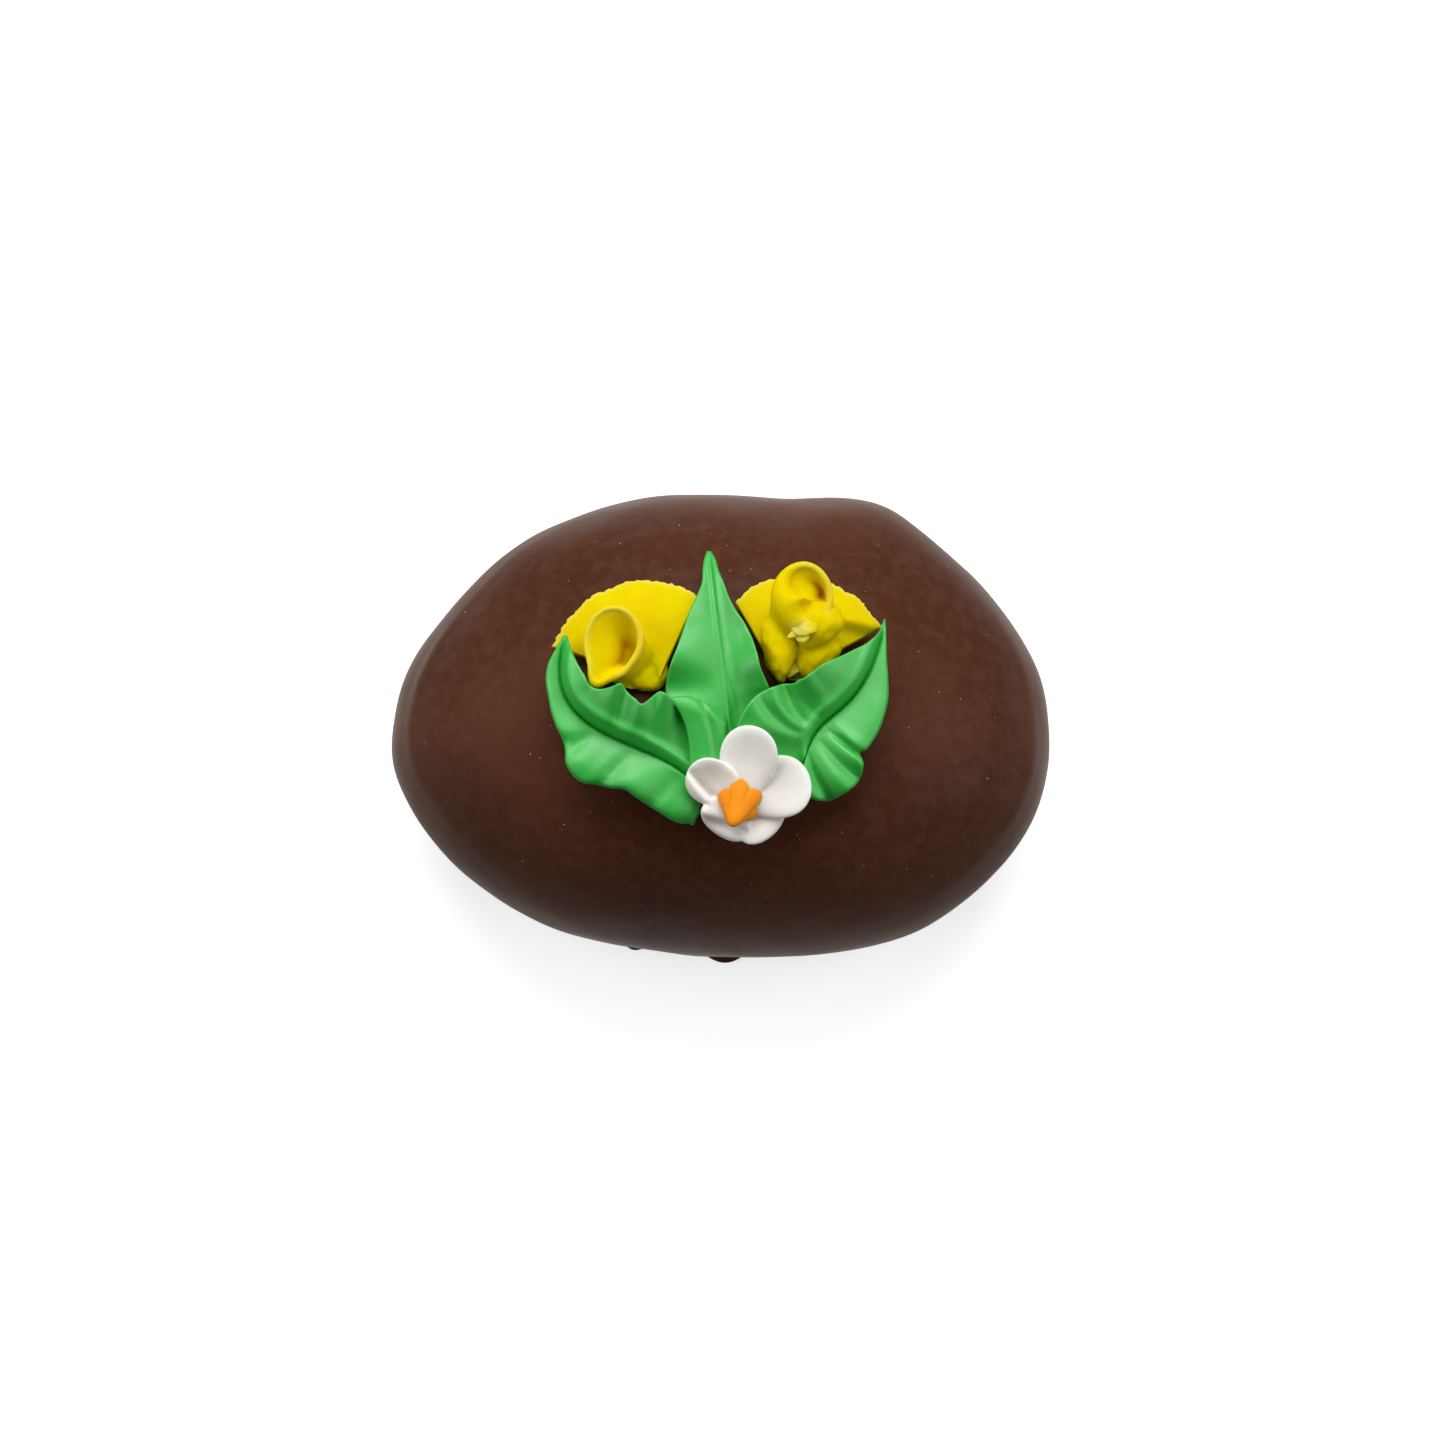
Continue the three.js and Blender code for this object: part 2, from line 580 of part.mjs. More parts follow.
// Maps places on the blossom's face to the egg: a along +X, b along +Y, c out of the face.
function blossomFace() {
  const [x, y] = BLOSSOM.at;
  const [leanX, leanY] = BLOSSOM.lean.map((degrees) => Math.sin(radians(degrees)));
  const normal = new THREE.Vector3(leanX, leanY, Math.sqrt(1 - leanX ** 2 - leanY ** 2));
  const alongX = new THREE.Vector3(1, 0, 0).addScaledVector(normal, -normal.x).normalize();
  const alongY = normal.clone().cross(alongX);
  const origin = new THREE.Vector3(x, y, chocolate(x, y) + BLOSSOM.lift);
  return (a, b, c) => origin.clone()
    .addScaledVector(alongX, a)
    .addScaledVector(alongY, b)
    .addScaledVector(normal, c)
    .toArray();
}

function makePetal({ turn, length, halfWidth, level, twist, droop }, face) {
  const around = 20;
  const cosine = Math.cos(radians(turn));
  const sine = Math.sin(radians(turn));
  const place = (share, k, up) => {
    const phi = (2 * Math.PI * k) / around;
    const along = length * lerp(BLOSSOM.middle, BLOSSOM.start, share * Math.cos(phi));
    const full = BLOSSOM.width - BLOSSOM.narrowing * Math.cos(phi);
    const wide = halfWidth * share * Math.sin(phi) * full;
    const u = along / length;
    const v = wide / halfWidth;
    const puff = 0.5 * BLOSSOM.thickness * Math.sqrt(Math.max(0, 1 - share ** 3));
    const c = BLOSSOM.base + BLOSSOM.cup * (u ** 2 + v ** 2 * u) + level * clamp(u / BLOSSOM.rise, 0, 1)
      - BLOSSOM.hollow * Math.sin(Math.PI * u) * (1 - v * v) - twist * v * u
      - droop * clamp((u - BLOSSOM.droopFrom) / (1 - BLOSSOM.droopFrom), 0, 1) ** 2;
    return face(along * cosine - wide * sine, along * sine + wide * cosine, c + up * puff);
  };
  const loop = (share, up) => Array.from({ length: around }, (_, k) => place(share, k, up));
  const shares = [0.4, 0.75, 0.95];
  const under = shares.map((share) => loop(share, -1));
  const over = shares.map((share) => loop(share, 1)).reverse();
  return rings([...under, loop(1, 0), ...over], place(0, 0, -1), place(0, 0, 1));
}

function makeBlossom() {
  const face = blossomFace();
  return BLOSSOM.petals.map((petal) => makePetal(petal, face)).reduce((whole, petal) => whole.add(petal));
}

function makeCentre() {
  const face = blossomFace();
  const around = 40;
  const levels = [0, 0.12, 0.3, 0.5, 0.7, 0.87];
  const loops = levels.map((h) => Array.from({ length: around }, (_, k) => {
    const phi = (2 * Math.PI * k) / around;
    const turned = (CENTRE.lobes / 2) * (phi - radians(CENTRE.turn));
    const wave = Math.abs(Math.cos(turned)) ** CENTRE.roundness;
    const lobe = 1 - CENTRE.grooveDepth * (1 - wave) * (1 - h) ** CENTRE.fading;
    const narrowed = (1 - h) ** CENTRE.taper * (1 - CENTRE.waist * Math.min(h / CENTRE.waistAt, 1));
    const radius = CENTRE.radius * lobe * (h > 0 ? 1 : CENTRE.foot) * narrowed;
    const leaned = h ** CENTRE.bend;
    const a = radius * Math.cos(phi) + CENTRE.lean[0] * leaned;
    const b = radius * Math.sin(phi) + CENTRE.lean[1] * leaned;
    return face(a, b, CENTRE.sink + CENTRE.height * h);
  }));
  return rings(loops, face(0, 0, CENTRE.sink), face(...CENTRE.lean, CENTRE.sink + CENTRE.height));
}

// ---- Putting the pieces together ----------------------------------------------------------

// A piece with room cut for the pieces that lie over it.
function clearOf(piece, ...others) {
  return largest(others.reduce((rest, other) => rest.subtract(grown(other, CUT_MARGIN)), piece));
}

const egg = makeEgg();
const centre = makeCentre();
const blossom = clearOf(makeBlossom(), egg, centre);
const leafRight = clearOf(makeLeaf(LEAVES.leaf_right), blossom);
const rosebudRight = clearOf(makeRosebud(ROSEBUDS.rosebud_right), leafRight, egg);
const leafMiddle = clearOf(makeLeaf(LEAVES.leaf_middle).add(makeFlap()), blossom, leafRight, rosebudRight);
const leafLeft = clearOf(makeLeaf(LEAVES.leaf_left), blossom, leafMiddle);
const rosebudLeft = clearOf(makeRosebud(ROSEBUDS.rosebud_left), leafLeft, leafMiddle, egg);

const part = new THREE.Group();

function addPiece(name, manifold, color, roughness) {
  const material = new THREE.MeshStandardMaterial({ color, roughness, metalness: 0 });
  const piece = new THREE.Mesh(toGeometry(manifold), material);
  piece.name = name;
  part.add(piece);
}

addPiece('egg', egg, COLOURS.egg, 0.4);
addPiece('leaf_left', leafLeft, COLOURS.leaf, 0.6);
addPiece('leaf_middle', leafMiddle, COLOURS.leaf, 0.6);
addPiece('leaf_right', leafRight, COLOURS.leaf, 0.6);
addPiece('rosebud_left', rosebudLeft, COLOURS.rosebud, 0.6);
addPiece('rosebud_right', rosebudRight, COLOURS.rosebud, 0.6);
addPiece('blossom', blossom, COLOURS.blossom, 0.65);
addPiece('blossom_centre', centre, COLOURS.centre, 0.55);

// The middle of the egg's box goes over the origin.
const middle = new THREE.Box3().setFromObject(part).getCenter(new THREE.Vector3());
part.position.set(-middle.x, -middle.y, 0);

export default part;
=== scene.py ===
import math

import bmesh
import bpy
import numpy as np
from mathutils import Matrix, Vector


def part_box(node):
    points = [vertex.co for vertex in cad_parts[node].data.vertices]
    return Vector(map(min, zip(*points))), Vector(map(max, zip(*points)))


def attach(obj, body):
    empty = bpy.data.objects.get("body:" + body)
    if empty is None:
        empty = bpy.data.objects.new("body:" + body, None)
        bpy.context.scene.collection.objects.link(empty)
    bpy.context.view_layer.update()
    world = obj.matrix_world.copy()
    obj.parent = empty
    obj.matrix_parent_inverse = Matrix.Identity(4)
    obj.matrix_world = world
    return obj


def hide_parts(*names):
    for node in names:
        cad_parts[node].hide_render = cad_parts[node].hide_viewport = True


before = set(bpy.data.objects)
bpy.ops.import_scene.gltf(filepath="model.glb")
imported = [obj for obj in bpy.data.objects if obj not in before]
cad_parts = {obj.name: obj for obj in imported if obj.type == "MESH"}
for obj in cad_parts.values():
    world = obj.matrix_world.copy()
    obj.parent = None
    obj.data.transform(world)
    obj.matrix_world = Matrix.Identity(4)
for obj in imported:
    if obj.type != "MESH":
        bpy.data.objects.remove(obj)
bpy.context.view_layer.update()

MM = 0.001


# ---- The chocolate egg -------------------------------------------------------
# A soft-centred egg, dipped by hand in dark milk chocolate and set down on paper: it has a flat
# foot, a full low shape and the slight swells and drag marks that the coating keeps as it sets.

EGG = dict(half_length=49.2, half_width=34.8, fullness=2.1, waist=14.0, height=44.0,
           foot=0.86, crown=2.25, shoulder=1.9)
# Swells of the outline: direction in degrees, spread in degrees, how far out in mm.
EGG_SWELLS = [(55, 13, 2.6), (316, 26, 2.8), (346, 12, 1.0), (157, 16, -2.0),
              (187, 9, 1.1), (232, 12, 0.5), (22, 10, -0.4), (104, 20, 0.4)]
# Where the coating ran out at the foot: direction, spread, how far beyond the foot in mm. The runs
# are fullest at one level, and thin out above it, in mm.
EGG_RUNS = [(271, 8, 3.7), (248, 5, 3.0), (335, 5, 3.2), (120, 7, 2.5), (35, 6, 2.5), (190, 6, 2.0)]
RUN_LEVEL, RUN_SPREAD = 0.5, 1.0
# Unevenness of the coating: length of its waves in mm, seed, height in mm.
COATING_WAVES = [(26, 3, 0.16), (9, 4, 0.05)]
# Drag marks: share of the way to the rim, spread, direction in degrees, spread, height in mm. They
# are an arc inside the left end, two soft ridges inside the right end, and a streak behind.
DRAG_MARKS = [(0.925, 0.018, 172, 30, 0.22), (0.80, 0.022, 2, 22, 0.20),
              (0.93, 0.02, 350, 26, 0.26), (0.72, 0.03, 118, 22, 0.10)]
# The skin moves out from a point at this height, as on an ellipsoid of this reach.
CORE_HEIGHT, CORE_REACH = 10.0, 30.0


def between(start, end, share):
    return start + (end - start) * share


def bump(at, where, spread):
    return np.exp(-((at - where) / spread) ** 2)


def angle_bump(degrees, where, spread):
    return bump((degrees - where + 180) % 360 - 180, 0, spread)


def outline(angle):
    """Radius in mm of the egg's outline in a direction, seen from above."""
    along = np.abs(np.cos(angle)) / EGG["half_length"]
    across = np.abs(np.sin(angle)) / EGG["half_width"]
    radius = (along ** EGG["fullness"] + across ** EGG["fullness"]) ** (-1 / EGG["fullness"])
    for where, spread, out in EGG_SWELLS:
        radius = radius + out * angle_bump(np.degrees(angle), where, spread)
    return radius


def chocolate(x, y):
    """Height in mm of the chocolate over a place in the plan."""
    share = np.clip(np.hypot(x, y) / outline(np.arctan2(y, x)), 0, 1)
    dome = (1 - share ** EGG["crown"]) ** (1 / EGG["shoulder"])
    return between(EGG["waist"], EGG["height"], dome)


def waves(points, length, seed):
    """Smooth unevenness between about -1 and 1, from waves of one length in all directions."""
    draw = np.random.default_rng(seed)
    total = np.zeros(points.shape[:-1])
    count = 14
    for _ in range(count):
        way = draw.normal(size=3)
        way = way / np.linalg.norm(way) * 2 * math.pi / (length * draw.uniform(0.75, 1.35))
        total += np.sin(points @ way + draw.uniform(0, 2 * math.pi))
    return total / math.sqrt(count)


# The plan is measured from the middle of the egg's ellipse; the frame's origin is under the middle
# of its box, which the swells move.
turn = np.linspace(0, 2 * math.pi, 721)
rim = outline(turn)[:, None] * np.stack([np.cos(turn), np.sin(turn)], 1)
egg_low, egg_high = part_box("egg")
SHIFT = np.array([*((egg_low + egg_high).xy / 2 / MM - Vector((rim.max(0) + rim.min(0)) / 2)), 0.0])


def new_object(name, mesh):
    piece = bpy.data.objects.new(name, mesh)
    bpy.context.collection.objects.link(piece)
    return piece


def face_outwards(mesh, weld=0):
    """Turns all faces outwards, once corners nearer than weld, in mm, are made one."""
    work = bmesh.new()
    work.from_mesh(mesh)
    if weld:
        bmesh.ops.remove_doubles(work, verts=work.verts, dist=weld * MM)
    bmesh.ops.recalc_face_normals(work, faces=work.faces)
    work.to_mesh(mesh)
    work.free()


def make_piece(name, points, faces, material):
    """An object from points in mm and faces of three or four corners, its place in its mesh."""
    mesh = bpy.data.meshes.new(name)
    mesh.from_pydata(((np.asarray(points) + SHIFT) * MM).tolist(), [], faces)
    mesh.validate()
    face_outwards(mesh)
    mesh.shade_smooth()
    if material:
        mesh.materials.append(material)
    return new_object(name, mesh)


def make_rings(name, loops, first_pole, last_pole, material):
    """A closed piece from rings of points laid one after another, with a pole at each end."""
    around = len(loops[0])
    points = np.concatenate([*loops, [first_pole, last_pole]])
    first, last = len(points) - 2, len(points) - 1
    k = np.arange(around)
    after = (k + 1) % around
    faces = []
    for i in range(len(loops) - 1):
        a, b = i * around, (i + 1) * around
        faces += np.stack([a + k, a + after, b + after, b + k], 1).tolist()
    top = (len(loops) - 1) * around
    faces += np.stack([np.full(around, first), after, k], 1).tolist()
    faces += np.stack([top + k, top + after, np.full(around, last)], 1).tolist()
    return make_piece(name, points, faces, material)


def add_node(tree, kind, inputs=None, **settings):
    """A shader or geometry node with its settings, and its inputs set to values or linked."""
    node = tree.nodes.new(kind)
    for key, value in settings.items():
        setattr(node, key, value)
    for key, value in (inputs or {}).items():
        if isinstance(value, bpy.types.NodeSocket):
            tree.links.new(value, node.inputs[key])
        else:
            node.inputs[key].default_value = value
    return node


def new_material(name):
    material = bpy.data.materials.new(name)
    material.use_nodes = True
    material.node_tree.nodes.clear()
    return material, material.node_tree


def blend_colours(tree, mask, low, high):
    """The colour socket of a mix of two colours or sockets by a mask."""
    low, high = ((*c, 1) if isinstance(c, tuple) else c for c in (low, high))
    # this node has one pair of inputs for each kind of value: those of colours are 6 and 7
    inputs = {"Factor": mask, 6: low, 7: high}
    return add_node(tree, "ShaderNodeMix", inputs, data_type="RGBA").outputs[2]


def spread_out(tree, value, low, high, to_low=0.0, to_high=1.0):
    """A value mapped from one range to another, and held inside it."""
    return add_node(tree, "ShaderNodeMapRange", {
        "Value": value, "From Min": low, "From Max": high, "To Min": to_low, "To Max": to_high,
    }).outputs["Result"]


def noise(tree, scale, detail, distortion=0.0):
    """A noise between 0 and 1 over a piece, of a scale per metre."""
    place = add_node(tree, "ShaderNodeTexCoord").outputs["Object"]
    return add_node(tree, "ShaderNodeTexNoise", {
        "Vector": place, "Scale": scale, "Detail": detail, "Distortion": distortion}).outputs["Fac"]


def calculate(tree, operation, *values):
    return add_node(tree, "ShaderNodeMath", dict(enumerate(values)), operation=operation).outputs[0]


def relief(tree, height, strength, deep):
    """The normals of a fine relief: how strongly it shows, and how deep it is in mm."""
    return add_node(tree, "ShaderNodeBump", {
        "Height": height, "Strength": strength, "Distance": deep * MM}).outputs["Normal"]


def add_surface(tree, inputs):
    surface = add_node(tree, "ShaderNodeBsdfPrincipled", inputs)
    add_node(tree, "ShaderNodeOutputMaterial", {"Surface": surface.outputs["BSDF"]})


CHOCOLATE_DARK = (0.063, 0.0170, 0.0060)
CHOCOLATE_LIGHT = (0.094, 0.0280, 0.0106)
CHOCOLATE_MOTTLE = (0.100, 0.038, 0.020)

chocolate_skin, tree = new_material("chocolate_coating")
bloom = noise(tree, 34.0, 4.0)
ground = blend_colours(tree, spread_out(tree, bloom, 0.35, 0.65), CHOCOLATE_DARK, CHOCOLATE_LIGHT)
mottled = spread_out(tree, noise(tree, 520.0, 3.0), 0.42, 0.68, 0.0, 0.5)
height = calculate(tree, "MULTIPLY_ADD", noise(tree, 110.0, 2.0), 3.0, noise(tree, 900.0, 3.0))
add_surface(tree, {
    "Base Color": blend_colours(tree, mottled, ground, CHOCOLATE_MOTTLE),
    "Roughness": spread_out(tree, bloom, 0.3, 0.7, 0.36, 0.46),
    "Normal": relief(tree, height, 0.35, 0.06), "Specular IOR Level": 0.07, "IOR": 1.46,
    "Sheen Weight": 0.44, "Sheen Roughness": 0.38, "Sheen Tint": (1.0, 0.90, 0.83, 1.0)})


def coating_relief(points):
    """How far the coating stands out over the plain egg, in mm."""
    x, y, z = points.T
    angle = np.arctan2(y, x)
    share = np.hypot(x, y) / outline(angle)
    upper = np.clip((z - 4) / 10, 0, 1)
    clear_of_foot = np.clip(z / 3, 0, 1)
    out = sum(up * waves(points, length, seed) for length, seed, up in COATING_WAVES)
    for at, wide, where, spread, up in DRAG_MARKS:
        out += up * bump(share, at, wide) * angle_bump(np.degrees(angle), where, spread) * upper
    return out * clear_of_foot


def make_egg():
    around, below, above = 384, 34, 92
    angle = np.linspace(0, 2 * math.pi, around, endpoint=False)
    degrees = np.degrees(angle)
    reach = outline(angle)
    levels = []
    for turn in np.linspace(0, math.pi / 2, below, endpoint=False):
        z = EGG["waist"] * (1 - math.cos(turn))
        radius = between(EGG["foot"], 1, math.sin(turn)) * reach
        for where, spread, out in EGG_RUNS:
            radius = radius + out * angle_bump(degrees, where, spread) * bump(z, RUN_LEVEL, RUN_SPREAD)
        levels.append((radius, z))
    for turn in np.linspace(0, math.pi / 2, above, endpoint=False):
        share = math.cos(turn) ** (2 / EGG["crown"])
        dome = math.sin(turn) ** (2 / EGG["shoulder"])
        levels.append((share * reach, between(EGG["waist"], EGG["height"], dome)))
    rings = [np.stack([r * np.cos(angle), r * np.sin(angle), np.full(around, z)], 1) for r, z in levels]
    points = np.concatenate(rings)
    away = points - [0, 0, CORE_HEIGHT]
    away[:, 0] /= (EGG["half_length"] / CORE_REACH) ** 2
    away[:, 1] /= (EGG["half_width"] / CORE_REACH) ** 2
    away /= np.linalg.norm(away, axis=1)[:, None]
    points = points + away * coating_relief(points)[:, None]
    points[:, 2] = np.maximum(points[:, 2], 0)
    loops = points.reshape(len(levels), around, 3)
    return make_rings("egg_coating", loops, (0, 0, 0), (0, 0, points[-1, 2]), chocolate_skin)


egg = make_egg()
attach(egg, "root")
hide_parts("egg")


# ---- Specks on the chocolate -------------------------------------------------
# Crumbs of pale sugar and dust that settled on the coating before it was hard: flat specks of a
# third of a millimetre at most, sunk into the skin here and there all over the egg.

# Sizes are shares of the radius, which is in mm.
SPECKS = dict(per_square_metre=16000.0, smallest=0.35, largest=1.0, radius=0.17, width=0.8,
              flatness=0.3, seed=7)
SPECK_BROWN = (0.20, 0.11, 0.07)
SPECK_PALE = (0.42, 0.33, 0.25)

speck_sugar, tree = new_material("sugar_speck")
kinds = spread_out(tree, noise(tree, 300.0, 2.0), 0.4, 0.6)
add_surface(tree, {"Base Color": blend_colours(tree, kinds, SPECK_BROWN, SPECK_PALE),
                   "Roughness": 0.6, "Specular IOR Level": 0.2})


def speck_tree():
    """Geometry nodes that scatter small flat stones over a surface and turn them to face out."""
    tree = bpy.data.node_groups.new("scatter_specks", "GeometryNodeTree")
    for way in ("INPUT", "OUTPUT"):
        tree.interface.new_socket("Geometry", in_out=way, socket_type="NodeSocketGeometry")
    enter = add_node(tree, "NodeGroupInput").outputs
    spread = add_node(tree, "GeometryNodeDistributePointsOnFaces", {
        "Mesh": enter["Geometry"], "Density": SPECKS["per_square_metre"], "Seed": SPECKS["seed"]})
    stone = add_node(tree, "GeometryNodeMeshIcoSphere", {
        "Radius": SPECKS["radius"] * MM, "Subdivisions": 1})
    flat = add_node(tree, "GeometryNodeTransform", {
        "Geometry": stone.outputs["Mesh"], "Scale": (1.0, SPECKS["width"], SPECKS["flatness"])})
    # of this node's limits, too, numbers have their own pair: 2 and 3
    size = add_node(tree, "FunctionNodeRandomValue", {
        2: SPECKS["smallest"], 3: SPECKS["largest"], "Seed": SPECKS["seed"]}, data_type="FLOAT")
    placed = add_node(tree, "GeometryNodeInstanceOnPoints", {
        "Points": spread.outputs["Points"], "Instance": flat.outputs["Geometry"],
        "Rotation": spread.outputs["Rotation"], "Scale": size.outputs[1]})
    solid = add_node(tree, "GeometryNodeRealizeInstances", {"Geometry": placed.outputs["Instances"]})
    coloured = add_node(tree, "GeometryNodeSetMaterial", {
        "Geometry": solid.outputs["Geometry"], "Material": speck_sugar})
    add_node(tree, "NodeGroupOutput", {"Geometry": coloured.outputs["Geometry"]})
    return tree


def make_specks():
    bed = new_object("speck_bed", egg.data.copy())
    bed.modifiers.new("scatter", "NODES").node_group = speck_tree()
    mesh = bpy.data.meshes.new_from_object(bed.evaluated_get(bpy.context.evaluated_depsgraph_get()))
    bpy.data.objects.remove(bed)
    mesh.name = "sugar_specks"
    return new_object("sugar_specks", mesh)


specks = make_specks()
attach(specks, "root")


# ---- Leaves ------------------------------------------------------------------
# Three leaves of green royal icing, each piped with a leaf tip in one wavering stroke, which gives
# the raised vein, the sharp groove beside it and the ruffled rims. They dried flat before they were
# stuck on, so the rims stand clear of the chocolate.

LEAF_BED = 1.25     # height of a leaf's middle surface over the chocolate, in mm
LEAF_RIM = 0.75     # its thickness at the rim
LEAF_BODY = 1.0     # and how much more it has along the vein
ROUNDING = 0.45     # width of the band along its rim that is rounded
BROAD = 5.0         # reach from which a side is hollowed fully
VEIN_END = 0.08     # share of the length over which the vein runs out at the tip
FAN_BACK = 1.5      # how soon the fan round the base comes to an end
RIBS_FROM = 0.12    # share of the way to the rim where the ribs begin
RIBS_OVER = 0.6     # and over which they reach their full height
SINK = 0.05         # how far icing sinks into the chocolate that it is stuck on, in mm
WELD = 0.002        # corners nearer than this, in mm, are one
